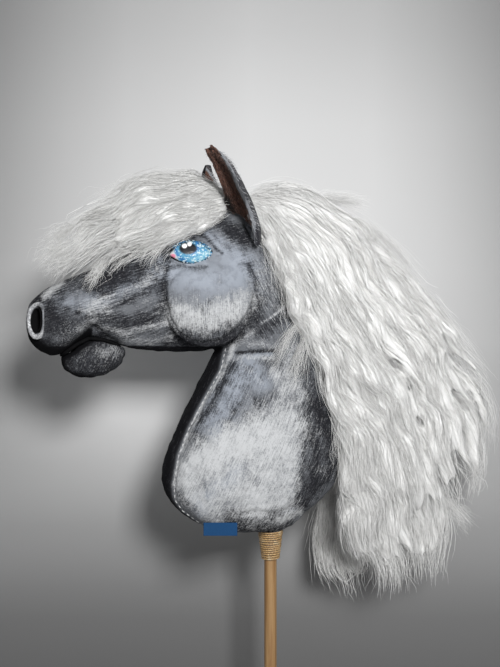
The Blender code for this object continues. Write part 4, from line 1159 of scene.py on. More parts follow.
# %% Ear shapes
EAR_VOXEL = 0.0011
EAR_SWELL, RIM_SWELL = 0.0004, 0.0014
FRINGE_LINE = ((213, 144), (220, 153), (231, 174), (237, 189), (246, 206), (252, 223), (251, 238))
EAR_MIDDLE = ((216, 160), (232, 190), (240, 225))
# the deep fold inside the cup, where painted shade goes near black
FOLD_LINE = ((226, 198), (231, 209), (238, 225), (243, 239))
NEAR_EAR_SHARE = 0.80
BACK_EDGE = ((218, 144), (228, 160), (243, 178), (252, 200), (255, 215), (257, 240))
EAR_ROWS = (146, 155, 163, 174, 188, 201, 214, 230)
EAR_FRONT = ((207, 208, 210, 214, 219, 223, 228, 231), (-2, -1, 2, 3, 3, 1, 0, 0))
EAR_BACK = ((213, 223, 231, 240, 247, 252, 256, 258), (-1, 0, -1, -3, -3, -1, 1, 3))


def metres(pixels, points):
    """How long pixels are at the distance of each point."""
    return pixels * (AWAY + near_side(points) @ AHEAD) / FOCAL_PIXELS


def narrowed(points, share):
    """Draws the front edge of an ear back, towards the edge that shows at its right."""
    across, down = seen(near_side(points))
    strength = np.interp(down, (196, 214), (1.0, 0.0))
    step = metres((line_at(down, BACK_EDGE) - across) * (1 - share) * strength, points)
    side = np.where(points[:, 1] < 0, 1.0, -1.0)
    return points + step[:, None] * RIGHT * np.column_stack((np.ones(len(points)), side, side))


def fitted(points):
    """Shifts both edges of the near ear onto the edges that show in the picture."""
    across, down = seen(near_side(points))
    rows = (np.interp(down, EAR_ROWS, row) for row in (*EAR_FRONT, *EAR_BACK))
    front, front_step, back, back_step = rows
    part = np.clip((across - front) / (back - front), 0, 1)
    return points + RIGHT * metres(front_step * (1 - part) + back_step * part, points)[:, None]


def ear_piece(kind, node, side):
    """Cloth or plush of one ear, with its shape, how pale or dark it is, and how much painted shade of the
    fold each point takes.
    """
    item = melted(copied(kind + side, node + side), EAR_VOXEL, smoothing=10)
    if kind == "ear_cloth_":
        across, down = seen(near_side(points_of(item)))
        rim = np.clip(line_distance(across, down, EAR_MIDDLE) / 14, 0, 1) * (down > 165)
        move_points(item, points_of(item) + normals_of(item) * (EAR_SWELL + RIM_SWELL * rim)[:, None])
    if side == "left":
        move_points(item, fitted(narrowed(points_of(item), NEAR_EAR_SHARE)))
    across, down = seen(near_side(points_of(item)))
    beyond = across - line_at(down, FRINGE_LINE)
    pale = np.exp(-(((beyond - 2.0) / 2.2) ** 2))
    # painted shade in the deep fold of the cup
    fold = nearness(across, down, FOLD_LINE, 5.5)
    store(item, "bands", np.column_stack((pale, past(beyond, 4.5, 0.8), fold)))
    return item


print("ear helpers are ready")

# %% [markdown]
# Cloth and plush share one recipe with different tones. At the rim the plush is turned over the edge, so
# that the cloth shows its brown there.

# %% Ear materials
PLUSH_TONES = ((0.026, 0.013, 0.010), (0.150, 0.076, 0.056))
EAR_CLOTH_TONES = ((0.026, 0.026, 0.032), (0.13, 0.135, 0.155))
DARK_EDGE, PALE_LINE, FOLD_SHADE = (0.022, 0.022, 0.027), (0.24, 0.25, 0.27), (0.003, 0.003, 0.003)


def ear_finish(name, low, high, marks_scale):
    """Coat cloth or plush, with a pale line, a dark edge, and painted shade in the fold, near black."""
    material, tree, shader = finish(name, Roughness=0.95, Specular_IOR_Level=0.1, Sheen_Weight=0.12)
    marks = grain(tree, object_place(tree), marks_scale, turn=62, detail=4, roughness=0.7)
    pale, dark, fold = kept_values(tree, "bands")
    share = ranged(tree, marks, 0.36, 0.64)
    colour = mixed(tree, share, low, high)
    colour = mixed(tree, kept(tree, "turned_over"), colour, mixed(tree, share, *PLUSH_TONES))
    colour = mixed(tree, dark, colour, DARK_EDGE)
    caught_pale = ranged(tree, reckoned(tree, "ADD", pale, marks), 0.75, 1.25)
    colour = mixed(tree, caught_pale, colour, PALE_LINE)
    # painted shade in the deep fold, near black
    coloured(tree, shader, mixed(tree, fold, colour, FOLD_SHADE))
    raised(tree, shader, marks, 0.0016)
    return material


ear_paint = ear_finish("ear_coat_cloth", *EAR_CLOTH_TONES, (70, 300, 500))
plush_paint = ear_finish("brown_plush", *PLUSH_TONES, (160, 500, 700))
fur_paint, tree, shader = finish("ear_fur", Roughness=0.9, Sheen_Weight=0.2)
tint = kept(tree, "tint")
fur = mixed(tree, ranged(tree, tint, 0.0, 0.5), (0.030, 0.016, 0.012), (0.20, 0.106, 0.079))
fur = mixed(tree, ranged(tree, tint, 0.5, 0.6), fur, (0.10, 0.10, 0.11))
coloured(tree, shader, mixed(tree, ranged(tree, tint, 0.6, 1.0), fur, (0.66, 0.67, 0.69)))


print("ear finishes are ready")

# %% [markdown]
# Now both ears are made, painted and given their hairs. Brown hairs are 3.4 mm long and those of the
# fringe 6.6 mm, and both lean down and back.

# %% Ears with their fur
TURNED_OVER = 0.0062
TIP_HEIGHT = {"left": 158, "right": 190}
HAIR_RADII = 0.00020 * np.array((1.0, 0.85, 0.55, 0.08))
PLUSH_HAIR, FRINGE_HAIR = 0.0034, 0.0066
PLUSH_HAIRS, RIM_HAIRS, FRINGE_HAIRS = 1600, 900, 1700


def hairs(item, chosen, length, lean, chance):
    """Short bent hairs that stand on some points of a piece and lean one way."""
    roots = points_of(item)[chosen]
    normals = normals_of(item)[chosen]
    rise = np.linspace(0, 1, len(HAIR_RADII))[None, :, None]
    lengths = length * chance.uniform(0.6, 1.3, (len(chosen), 1, 1))
    way = normals * 0.55 + np.array(lean) + chance.normal(0, 0.22, normals.shape)
    lines = roots[:, None, :] + way[:, None, :] * rise * lengths
    return lines - normals[:, None, :] * rise**2 * lengths * 0.25


for side in ("left", "right"):
    body = "ear_" + side
    outer = ear_piece("ear_cloth_", "ear_outer_", side)
    inner = ear_piece("ear_plush_", "ear_lining_", side)
    across, down = seen(near_side(points_of(outer)))
    beyond = across - line_at(down, FRINGE_LINE)
    lining_tree = surface_tree(inner)
    gap = np.array([lining_tree.find_nearest(Vector(point))[3] for point in points_of(outer)])
    turned_over = np.clip((TURNED_OVER - gap) / 0.002, 0, 1)
    turned_over = np.maximum(turned_over, (beyond < 0) & (down < TIP_HEIGHT[side]))
    store(outer, "turned_over", turned_over)
    dress(outer, ear_paint, body)
    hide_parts("ear_outer_" + side)
    dress(inner, plush_paint, body)
    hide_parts("ear_lining_" + side)

    chance = np.random.default_rng(91)
    inner_across, inner_down = seen(near_side(points_of(inner)))
    brown = inner_across < line_at(inner_down, FRINGE_LINE) + 1
    brown = np.flatnonzero(brown & (line_distance(inner_across, inner_down, FOLD_LINE) > 3))
    brown = chance.choice(brown, PLUSH_HAIRS)
    plush = hairs(inner, brown, PLUSH_HAIR, (0.2, 0.0, -0.5), chance)
    rim = chance.choice(np.flatnonzero((turned_over > 0.5) & (beyond < 0)), RIM_HAIRS)
    plush = np.concatenate((plush, hairs(outer, rim, PLUSH_HAIR, (0.1, 0.0, -0.4), chance)))
    pale = chance.choice(np.flatnonzero((np.abs(beyond - 2.5) < 3.5) & (down > 150)), FRINGE_HAIRS)
    fringe = hairs(outer, pale, FRINGE_HAIR, (0.55, 0.0, -0.45), chance)
    bundles = (
        (plush, np.tile(HAIR_RADII, (len(plush), 1)), 3, chance.uniform(0.0, 0.5, len(plush))),
        (fringe, np.tile(HAIR_RADII, (len(fringe), 1)), 3, chance.uniform(0.6, 1.0, len(fringe))),
    )
    dress(strands("ear_fur_" + side, bundles), fur_paint, body)
    print("ear", side, "has", len(plush), "plush hairs and", len(fringe), "fringe hairs")

# %% [markdown]
# ## Wool
# The mane and forelock are unspun wool: locks of thousands of crimped fibres that cling together. Each
# lock follows a few guide lines, which were placed on the picture. Between the guides run soft, tapered
# wisps, and round each wisp thin fibres wave and stray. The fibres are short lengths that overlap along
# the wisp, as in real roving, so that each one needs only a few dozen faces.

# %% Wool material
def wool_finish(name, threads_of, low, high):
    """White wool whose tone and relief follow its threads."""
    material, tree, shader = finish(
        name, Roughness=0.95, Specular_IOR_Level=0.15, Sheen_Weight=0.25, Sheen_Roughness=0.6
    )
    tone, threads = threads_of(tree)
    coloured(tree, shader, mixed(tree, tone, low, high))
    raised(tree, shader, threads, 0.0008, 0.22)
    return material


def fibre_threads(tree):
    """Threads along each fibre, whose tone is the fibre's own."""
    tint = kept(tree, "tint")
    combed = add(tree, "UVMap", uv_map="OFBake").outputs["UV"]
    return tint, grain(tree, combed, (2600, 160, 1), detail=3, roughness=0.7)


def fleece_threads(turn):
    """Threads along one direction of the picture, drawn into swirls."""

    def threads_of(tree):
        place = object_place(tree)
        for marks, height in ((9, 0.05), (28, 0.016)):
            drift = add(tree, "TexNoise", {"Vector": place, "Scale": marks, "Detail": 2}).outputs["Color"]
            drift = add(tree, "VectorMath", {0: drift, 1: (0.5, 0.5, 0.5)}, operation="SUBTRACT").outputs[0]
            moved = add(tree, "VectorMath", {0: drift, "Scale": height}, operation="SCALE").outputs[0]
            place = add(tree, "VectorMath", {0: place, 1: moved}, operation="ADD").outputs[0]
        threads = grain(tree, place, (30, 420, 900), turn=turn, detail=5, roughness=0.72)
        clumps = grain(tree, place, (10, 45, 110), turn=turn, detail=3, roughness=0.55)
        return ranged(tree, blended(tree, 0.5, threads, clumps), 0.34, 0.58), threads

    return threads_of


FIBRE_TONES = ((0.58, 0.575, 0.56), (0.93, 0.93, 0.92))
FLEECE_TONES = ((0.57, 0.565, 0.55), (0.84, 0.84, 0.83))
SHADED_TONES = ((0.36, 0.355, 0.34), (0.60, 0.60, 0.59))
wool_paint = wool_finish("unspun_wool", fibre_threads, *FIBRE_TONES)
mane_fleece = wool_finish("mane_fleece", fleece_threads(52), *FLEECE_TONES)
forelock_fleece = wool_finish("forelock_fleece", fleece_threads(-28), *FLEECE_TONES)
shaded_fleece = wool_finish("shaded_fleece", fleece_threads(75), *SHADED_TONES)
print("wool finishes are ready")

# %% [markdown]
# Wisps are the lines that a lock is built on. They lie between its guides, and a slow drift that
# neighbours share makes them billow together. Shorter ones wind about on the outside.

# %% Wisps
STEPS = 24
SHARE = np.linspace(0, 1, STEPS)[None, :]
WISP_BILLOWS = (
    # size and height in metres, seed
    (0.11, 0.0055, 101),
    (0.045, 0.0030, 201),
)
CURL_SWING = (0.005, 0.013)


def combed(guide, count):
    """Even points along a guide: pixels across and down, and millimetres from the middle plane."""
    across, down, aside = np.array(guide, float).T
    return even_line(placed(across, down, aside / 1000), count)


def along_lines(values, rows, spot):
    """Values between the steps of lines: rows picks the line, spot the step."""
    below = np.clip(spot.astype(int), 0, STEPS - 2)
    part = spot - below
    part = part[..., None] if values.ndim == 3 else part
    return values[rows, below] * (1 - part) + values[rows, below + 1] * part


def billow(points, size, height, seed):
    """A slow drift of points in three directions, the same for all wool at one place."""
    flat = points.reshape(-1, 3)
    drift = np.stack([lumps(flat, size, seed + axis) for axis in range(3)], axis=-1)
    return height * drift.reshape(points.shape)


def wisp_lines(guides, wisps, thickness, chance):
    """Lines spread between the guides, with a drift that neighbours share."""
    spines = np.stack([combed(guide, STEPS) for guide in guides])
    spots = (np.arange(wisps) + chance.uniform(0.1, 0.9, wisps)) / wisps * (len(guides) - 1)
    low = np.clip(spots.astype(int), 0, len(guides) - 2)
    blend = (spots - low)[:, None, None]
    lines = spines[low] * (1 - blend) + spines[low + 1] * blend
    cut = SHARE * chance.uniform(0.86, 1.0, (wisps, 1)) * (STEPS - 1)
    lines = along_lines(lines, np.arange(wisps)[:, None], cut)
    first, second = cross_frames(lines)
    grow = np.clip(SHARE * 3, 0.1, 1)[:, :, None]
    lines = lines + grow * sum(billow(lines, *row) for row in WISP_BILLOWS)
    lines = lines + grow * first * chance.normal(0, thickness * 0.5, wisps)[:, None, None]
    return lines + grow * second * chance.normal(0, thickness * 0.5, wisps)[:, None, None]


def curls_on(lines, number, thickness, outer, ends, chance):
    """Shorter wisps that wind about on the outside of a lock."""
    rows = chance.integers(0, len(lines), number)[:, None]
    start = chance.uniform(0.02, ends - 0.34, (number, 1))
    spot = np.clip(start + SHARE * chance.uniform(0.22, 0.38, (number, 1)), 0, 1) * (STEPS - 1)
    first, second = cross_frames(lines)
    centre = along_lines(lines, rows, spot)
    phase = chance.uniform(0, 2 * math.pi, (number, 1))
    swing = np.sin(SHARE * chance.uniform(4, 8, (number, 1)) + phase)
    swing = swing * chance.uniform(*CURL_SWING, (number, 1))
    lift = thickness * (0.85 + 0.35 * np.sin(SHARE * 6 + phase * 2))
    centre = centre + along_lines(first, rows, spot) * swing[:, :, None]
    return centre + outer * along_lines(second, rows, spot) * lift[:, :, None]


print("wisps have", STEPS, "points each")

# %% [markdown]
# A lock is a soft fleece, melted together from its wisps, under thousands of loose fibres. Each fibre
# winds round a wisp, is lifted out of the fleece, and some of them stray.

# %% Wool maker
FIBRE_POINTS = 6
FIBRE_LENGTH = 0.072
CLOTH_ROOM = 0.0018
SIDE_LIMIT = 0.098
FLEECE_VOXEL = 0.0029
FLEECE_SMOOTHING = 48
FLEECE_SIDES = 8
FLEECE_SWELL = 0.0016
WISP_PROFILE = ((0, 0.05, 0.35, 0.8, 0.94, 1), (0.06, 0.6, 1.0, 0.95, 0.65, 0.06))
CURL_PROFILE = ((0, 0.2, 0.8, 1), (0.06, 0.42, 0.42, 0.06))
FIBRE_PROFILE = ((0, 0.15, 0.7, 1), (0.3, 1.0, 0.8, 0.12))
FIBRE_RADIUS = (0.00017, 0.00042)
FIBRE_BILLOW = (0.024, 0.0022, 401)
LOOSE_REACH, CLOSE_REACH = (1.0, 2.3), (0.7, 1.1)
LOOSE_ROOM, CLOSE_ROOM = (0.0012, 0.0040), (0.0006, 0.0026)


def fleece(name, lines, curls, thickness, material, node, body, ends):
    """The soft bulk of a lock: all its wisps melted together."""
    inner = ends * SHARE * np.ones((len(lines), 1)) * (STEPS - 1)
    lines = along_lines(lines, np.arange(len(lines))[:, None], inner)
    profile = np.interp(SHARE, *WISP_PROFILE)
    uneven = 1 + 0.18 * lumps(lines.reshape(-1, 3), 0.05, 301).reshape(lines.shape[:2])
    wisps, wisp_faces = tubes(lines, thickness * profile * uneven, FLEECE_SIDES)
    slim = np.interp(SHARE, *CURL_PROFILE) * np.ones((len(curls), 1))
    ridges, ridge_faces = tubes(curls, thickness * slim, FLEECE_SIDES)
    faces = np.vstack((wisp_faces, ridge_faces + len(wisps)))
    mesh = bpy.data.meshes.new(name)
    mesh.from_pydata(np.vstack((wisps, ridges)).tolist(), [], faces.tolist())
    item = melted(new_object(name, mesh), FLEECE_VOXEL, smoothing=FLEECE_SMOOTHING)
    points = points_of(item)
    points += normals_of(item) * (FLEECE_SWELL * lumps(points, 0.040, 501))[:, None]
    points[:, 1] = np.clip(points[:, 1], -SIDE_LIMIT, SIDE_LIMIT)
    move_points(item, points)
    dress(item, material, body)
    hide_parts(node)
    return item


def wool_lock(
    name, guides, node, body, wisps, fibres, thickness, seed,
    outer=1, stray=0.38, material=mane_fleece, ends=0.94, tone=1.0,
):
    """A lock of wool along guide lines, in place of a CAD node: a soft fleece under loose fibres."""
    chance = np.random.default_rng(seed)
    lines = kept_off(wisp_lines(guides, wisps, thickness, chance), thickness * 0.7 + CLOTH_ROOM)
    curls = kept_off(curls_on(lines, wisps, thickness, outer, ends, chance), thickness * 0.4 + CLOTH_ROOM)
    bulk = fleece(name + "_fleece", lines, curls, thickness, material, node, body, ends)
    skin = surface_tree(bulk)

    both = np.concatenate((lines, curls))
    lengths = np.linalg.norm(np.diff(both, axis=1), axis=2).sum(axis=1)
    owner = chance.choice(len(both), fibres, p=lengths / lengths.sum())
    rows = owner[:, None]
    span = np.clip(FIBRE_LENGTH / lengths[owner] * chance.uniform(0.6, 1.3, fibres), 0.1, 1)
    start = chance.uniform(-0.02, 1.04 - span * 0.9, fibres)
    steps = np.linspace(0, 1, FIBRE_POINTS)
    along = start[:, None] + span[:, None] * steps[None, :]
    beyond = np.clip(along - 1, 0, 1)
    spot = np.clip(along, 0, 1) * (STEPS - 1)
    centre = along_lines(both, rows, spot)
    first, second = cross_frames(both)
    loose = chance.uniform(0, 1, fibres) < stray
    away = np.where(loose, chance.uniform(*LOOSE_REACH, fibres), chance.uniform(*CLOSE_REACH, fibres))
    opening = np.where(loose, chance.uniform(-0.3, 0.9, fibres), 0)[:, None] * steps[None, :]
    reach = thickness * np.where(owner < len(lines), 1.0, 0.5)[:, None] * (away[:, None] + opening)
    turn = chance.uniform(0, 2 * math.pi, (fibres, 1)) + along * chance.uniform(-5, 5, (fibres, 1))
    centre = centre + along_lines(first, rows, spot) * (np.cos(turn) * reach)[:, :, None]
    centre = centre + along_lines(second, rows, spot) * (np.sin(turn) * reach)[:, :, None]
    centre = centre + billow(centre, *FIBRE_BILLOW)
    centre[:, :, 2] -= beyond * lengths[owner][:, None] * 0.5
    room = np.where(loose, chance.uniform(*LOOSE_ROOM, fibres), chance.uniform(*CLOSE_ROOM, fibres))
    centre = kept_off(centre, room[:, None], skin, 0.03)
    centre[:, 1:-1] = (centre[:, :-2] + 2 * centre[:, 1:-1] + centre[:, 2:]) / 4
    centre = kept_off(centre, room[:, None] * 0.6, skin, 0.03)
    centre = centre + chance.normal(0, 0.00035, centre.shape)
    centre = kept_off(centre, 0.0010)
    centre[:, :, 1] = np.clip(centre[:, :, 1], -SIDE_LIMIT, SIDE_LIMIT)
    thin = chance.uniform(*FIBRE_RADIUS, (fibres, 1)) * np.interp(steps, *FIBRE_PROFILE)[None, :]
    lock = strands(name, ((centre, thin, 3, chance.uniform(0.1, 1.0, fibres) * tone),))
    dress(lock, wool_paint, body)
    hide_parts(node)
    fleece_faces, fibre_faces = len(bulk.data.polygons) * 2, len(lock.data.polygons) * 2
    print(name, fleece_faces, "triangles of fleece and", fibre_faces, "of fibres")


print("fibres are", FIBRE_LENGTH, "m long at the middle")

# %% [markdown]
# The guides are written as pixel across, pixel down, and millimetres from the middle plane, which are
# negative on the near side. After its guides each call names the lock's CAD node and its body, and then
# gives its number of wisps and of fibres, the thickness of a wisp and the seed of its random draws. The
# forelock falls from the poll over the forehead and past the near eye.

# %% Forelock
FORELOCK_GUIDES = (
    ((228, 196, 30), (206, 195, 30), (186, 185, 30), (158, 189, 28), (126, 206, 24),
     (98, 220, 18), (76, 232, 10)),
    ((228, 194, 12), (206, 193, 11), (184, 182, 10), (156, 180, 8), (122, 197, 6), (92, 213, 4),
     (66, 226, 2)),
    ((229, 194, -6), (206, 194, -8), (182, 184, -10), (148, 190, -14), (110, 208, -14),
     (78, 228, -12), (46, 248, -10)),
    ((230, 197, -18), (206, 192, -22), (182, 194, -26), (144, 206, -30), (106, 225, -30),
     (74, 244, -26), (42, 261, -22)),
    ((230, 201, -24), (206, 201, -30), (184, 207, -36), (146, 222, -40), (112, 240, -38),
     (82, 255, -34), (52, 268, -30)),
    ((228, 205, -30), (208, 210, -37), (188, 217, -42), (154, 234, -46), (124, 252, -44),
     (102, 266, -40), (91, 281, -38)),
    ((226, 207, -34), (212, 216, -41), (196, 224, -46), (172, 238, -50), (152, 249, -50), (144, 262, -50)),
    ((224, 209, -36), (204, 222, -46), (192, 232, -50), (176, 238, -53), (158, 247, -54)),
)
wool_lock(
    "forelock_wool", FORELOCK_GUIDES, "forelock", "forelock", 44, 4000, 0.0072, 11,
    material=forelock_fleece, ends=0.72,
)

# %% [markdown]
# The near mane is four locks, one below the other. The guides of each go from the crest over the side of
# the neck and out behind it.

# %% Near mane
NEAR_POLL = (
    ((240, 206, -3), (254, 192, -5), (276, 187, -6), (306, 192, -7), (342, 213, -8),
     (376, 244, -10), (410, 286, -10), (444, 330, -10)),
    ((240, 206, -8), (262, 192, -10), (300, 195, -10), (337, 219, -12), (374, 250, -14),
     (408, 290, -16), (446, 333, -16), (478, 372, -16), (500, 420, -14)),
    ((240, 207, -12), (264, 194, -14), (290, 196, -18), (322, 218, -24), (358, 256, -30),
     (392, 303, -34), (428, 348, -34), (460, 392, -32), (490, 440, -28)),
    ((242, 208, -16), (262, 196, -18), (276, 197, -22), (306, 220, -34), (336, 262, -42),
     (366, 312, -44), (398, 362, -42), (428, 412, -38), (455, 462, -34)),
    ((242, 209, -20), (256, 200, -22), (270, 208, -30), (290, 230, -42), (316, 272, -52),
     (344, 322, -52), (376, 376, -46), (404, 428, -42), (420, 480, -38)),
    ((244, 210, -24), (256, 206, -30), (272, 232, -46), (300, 272, -60), (324, 322, -58),
     (350, 372, -50), (376, 424, -46), (388, 470, -42)),
    ((246, 210, -26), (252, 210, -30), (267, 238, -48), (291, 268, -62), (302, 308, -64),
     (322, 352, -60), (342, 398, -52)),
    ((246, 212, -26), (252, 214, -32), (265, 240, -50), (286, 264, -62), (289, 294, -66),
     (292, 318, -64), (302, 342, -60)),
)
wool_lock("mane_wool_poll", NEAR_POLL, "mane_lock_poll", "horse", 48, 4150, 0.0088, 21)
NEAR_CREST = (
    ((318, 222, -5), (360, 254, -7), (400, 300, -8), (440, 344, -9), (472, 384, -9),
     (494, 430, -9), (486, 478, -9)),
    ((316, 240, -18), (352, 278, -30), (388, 324, -36), (420, 372, -36), (440, 424, -34),
     (456, 474, -30), (458, 516, -26)),
    ((310, 260, -26), (334, 304, -44), (362, 352, -48), (392, 404, -44), (412, 454, -40),
     (424, 500, -36), (430, 540, -30)),
    ((304, 282, -34), (318, 330, -56), (340, 380, -54), (362, 428, -48), (376, 474, -44),
     (384, 520, -40), (400, 560, -36)),
)
wool_lock("mane_wool_crest", NEAR_CREST, "mane_lock_crest", "horse", 40, 3950, 0.0090, 31)
NEAR_MIDDLE = (
    ((326, 300, -6), (364, 340, -8), (398, 390, -9), (422, 440, -9), (440, 490, -9),
     (446, 540, -9), (440, 582, -9)),
    ((322, 330, -24), (350, 374, -40), (376, 424, -42), (394, 474, -38), (404, 520, -34), (412, 584, -28)),
    ((316, 350, -34), (334, 392, -52), (352, 436, -50), (364, 480, -44), (372, 524, -40), (384, 584, -34)),
)
wool_lock("mane_wool_middle", NEAR_MIDDLE, "mane_lock_middle", "horse", 36, 3850, 0.0090, 41)
NEAR_LOWER = (
    ((336, 370, -5), (362, 412, -7), (382, 456, -9), (396, 500, -9), (402, 545, -9), (394, 590, -9)),
    ((330, 392, -24), (348, 430, -44), (356, 472, -46), (362, 510, -42), (370, 548, -36), (376, 584, -30)),
    ((332, 402, -30), (346, 432, -50), (354, 452, -52), (350, 486, -50), (350, 520, -44), (358, 558, -36)),
)
wool_lock("mane_wool_lower", NEAR_LOWER, "mane_lock_lower", "horse", 32, 3750, 0.0088, 51)

# %% [markdown]
# Three locks hang on the far side. They show past the crest and under the near ones, and the lowest is in
# the shade, so its wool is darker.

# %% Far mane
FAR_UPPER = (
    ((246, 204, 10), (268, 192, 12), (302, 202, 26), (340, 232, 36), (376, 272, 38),
     (412, 322, 36), (442, 372, 34), (462, 420, 30)),
    ((268, 192, 6), (300, 200, 7), (340, 230, 9), (380, 268, 11), (416, 316, 12), (448, 362, 12),
     (470, 408, 12)),
    ((312, 240, 22), (344, 282, 42), (378, 330, 46), (408, 380, 44), (432, 430, 40)),
    ((262, 206, 24), (290, 236, 44), (318, 280, 56), (346, 330, 56), (372, 378, 52), (394, 424, 46)),
)
wool_lock("mane_wool_far_upper", FAR_UPPER, "mane_lock_far_upper", "horse", 38, 2700, 0.0090, 61, outer=-1)
FAR_MIDDLE = (
    ((318, 262, 6), (356, 304, 9), (394, 356, 10), (422, 408, 10), (438, 462, 10), (436, 516, 10)),
    ((322, 290, 12), (360, 338, 24), (396, 388, 28), (420, 438, 28), (432, 490, 26), (424, 540, 22)),
    ((318, 320, 26), (346, 366, 46), (372, 414, 48), (392, 462, 46), (404, 512, 40), (408, 552, 34)),
    ((308, 320, 38), (324, 362, 58), (344, 406, 60), (358, 450, 56), (368, 494, 50), (376, 530, 44)),
)
wool_lock("mane_wool_far_middle", FAR_MIDDLE, "mane_lock_far_middle", "horse", 36, 2700, 0.0090, 71, outer=-1)
FAR_LOWER = (
    ((328, 352, 6), (354, 404, 9), (366, 456, 10), (372, 508, 10), (374, 560, 10)),
    ((334, 380, 14), (352, 430, 28), (356, 480, 36), (358, 520, 38), (362, 560, 36), (366, 602, 30)),
    ((330, 400, 30), (338, 450, 50), (330, 500, 56), (326, 540, 56), (330, 580, 50), (345, 600, 44)),
    ((328, 410, 34), (330, 460, 56), (320, 500, 62), (310, 536, 62), (314, 574, 56), (330, 590, 50)),
)
wool_lock(
    "mane_wool_far_lower", FAR_LOWER, "mane_lock_far_lower", "horse", 36, 2700, 0.0086, 81,
    outer=-1, material=shaded_fleece, tone=0.55,
)

# %% [markdown]
# Thin veils of single fibres hang over the neck, stand off the top of the mane and end the forelock.

# %% Stray wool
STRAY_POINTS = 9
STRAY_SWAY = 0.0032
STRAY_RADIUS = (0.00010, 0.00022)
STRAY_PROFILE = ((0, 0.2, 0.7, 1), (0.4, 1.0, 0.8, 0.15))


def stray_wool(name, veils, body, seed):
    """Bunches of long single fibres: guide, number of fibres, and spread in metres."""
    chance = np.random.default_rng(seed)
    lines = []
    share = np.linspace(0, 1, STRAY_POINTS)[None, :, None]
    for guide, number, spread in veils:
        spine = combed(guide, STRAY_POINTS)
        length = np.linalg.norm(np.diff(spine, axis=0), axis=1).sum()
        aim = chance.normal(0, 1, (number, 1, 3)) * spread
        sway = chance.normal(0, 1, (number, 1, 3)) * STRAY_SWAY
        sway = sway * np.sin(share * chance.uniform(4, 12, (number, 1, 1)))
        slip = (spine[-1] - spine[0]) / length * chance.uniform(-0.15, 0.15, (number, 1, 1)) * length
        lines.append(spine[None] + aim * (0.6 + share) + sway + slip)
    lines = kept_off(np.concatenate(lines), 0.0012)
    lines[:, :, 1] = np.clip(lines[:, :, 1], -SIDE_LIMIT, SIDE_LIMIT)
    taper = np.interp(share[0, :, 0], *STRAY_PROFILE)
    thin = chance.uniform(*STRAY_RADIUS, (len(lines), 1)) * taper[None, :]
    item = strands(name, ((lines, thin, 3, chance.uniform(0.2, 1.0, len(lines))),))
    dress(item, wool_paint, body)
    print(name, "has", len(lines), "fibres")


MANE_VEILS = (
    (((300, 318, -66), (292, 334, -66), (282, 350, -64), (273, 364, -62)), 60, 0.004),
    (((306, 338, -64), (300, 360, -62), (294, 382, -60)), 70, 0.005),
    (((262, 236, -52), (276, 262, -60), (282, 290, -66)), 60, 0.004),
    (((312, 200, -10), (332, 198, -10), (348, 200, -10), (362, 206, -10)), 150, 0.005),
    (((372, 226, -12), (398, 252, -12), (420, 284, -12)), 90, 0.005),
    (((430, 300, -12), (454, 334, -12), (474, 366, -12)), 90, 0.006),
    (((470, 372, -14), (484, 392, -14), (490, 412, -14), (488, 434, -14)), 90, 0.006),
    (((478, 440, -14), (480, 464, -14), (470, 486, -14)), 60, 0.006),
    (((340, 418, -56), (336, 440, -55), (338, 464, -52)), 30, 0.004),
    (((446, 500, -12), (456, 512, -12), (464, 522, -12)), 110, 0.006),
)
stray_wool("mane_veils", MANE_VEILS, "horse", 95)
FORELOCK_VEILS = (
    (((72, 226, -4), (60, 234, -4), (50, 243, -4)), 130, 0.006),
    (((66, 244, -18), (54, 252, -18), (46, 262, -18)), 130, 0.006),
    (((72, 256, -28), (60, 264, -28), (52, 272, -28)), 90, 0.005),
    (((104, 262, -40), (96, 272, -40), (90, 286, -40)), 100, 0.005),
    (((150, 176, 0), (124, 186, 0), (100, 202, 0)), 120, 0.005),
    (((226, 196, -30), (214, 204, -36), (204, 216, -42)), 70, 0.003),
)
stray_wool("forelock_veils", FORELOCK_VEILS, "forelock", 96)

# %% [markdown]
# The mane is sewn to a woven tape along the crest. It only shows from above, between the locks.

# %% Mane tape
TAPE_TONES = ((0.62, 0.61, 0.57), (0.78, 0.77, 0.73))
tape_paint = two_toned("woven_tape", (700, 700, 700), *TAPE_TONES, relief=0.0004, Roughness=0.9)
tape = melted(copied("mane_tape", "mane_weft"), 0.0012, smoothing=3)
dress(tape, tape_paint)
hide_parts("mane_weft")
print("tape:", len(tape.data.vertices), "points")

# %% [markdown]
# ## Stick, twine and label
# The stick is a plain pine dowel. Its CAD shape is right, so it only gets its wood, with grain along it.

# %% Stick
EARLY_WOOD, LATE_WOOD, PORES = (0.35, 0.21, 0.092), (0.24, 0.125, 0.045), (0.19, 0.10, 0.04)
pine, tree, shader = finish("pine_dowel", Roughness=0.42, Coat_Weight=0.15, Coat_Roughness=0.3)
place = object_place(tree)
rings = grain(tree, place, (160, 160, 5), detail=3, roughness=0.55)
pores = grain(tree, place, (1500, 1500, 30), detail=2)
colour = mixed(tree, ranged(tree, rings, 0.38, 0.64), EARLY_WOOD, LATE_WOOD)
colour = mixed(tree, ranged(tree, pores, 0.56, 0.70, 0, 0.5), colour, PORES)
coloured(tree, shader, colour)
raised(tree, shader, pores, 0.0002, 0.5)
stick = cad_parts["stick"]
stick.data.materials.clear()
stick.data.materials.append(pine)
print("the stick has its wood")

# %% [markdown]
# The twine is wound again as three plies that twist round each other, between the radii that the CAD
# winding has at its two ends. Dried glue makes it glossy.

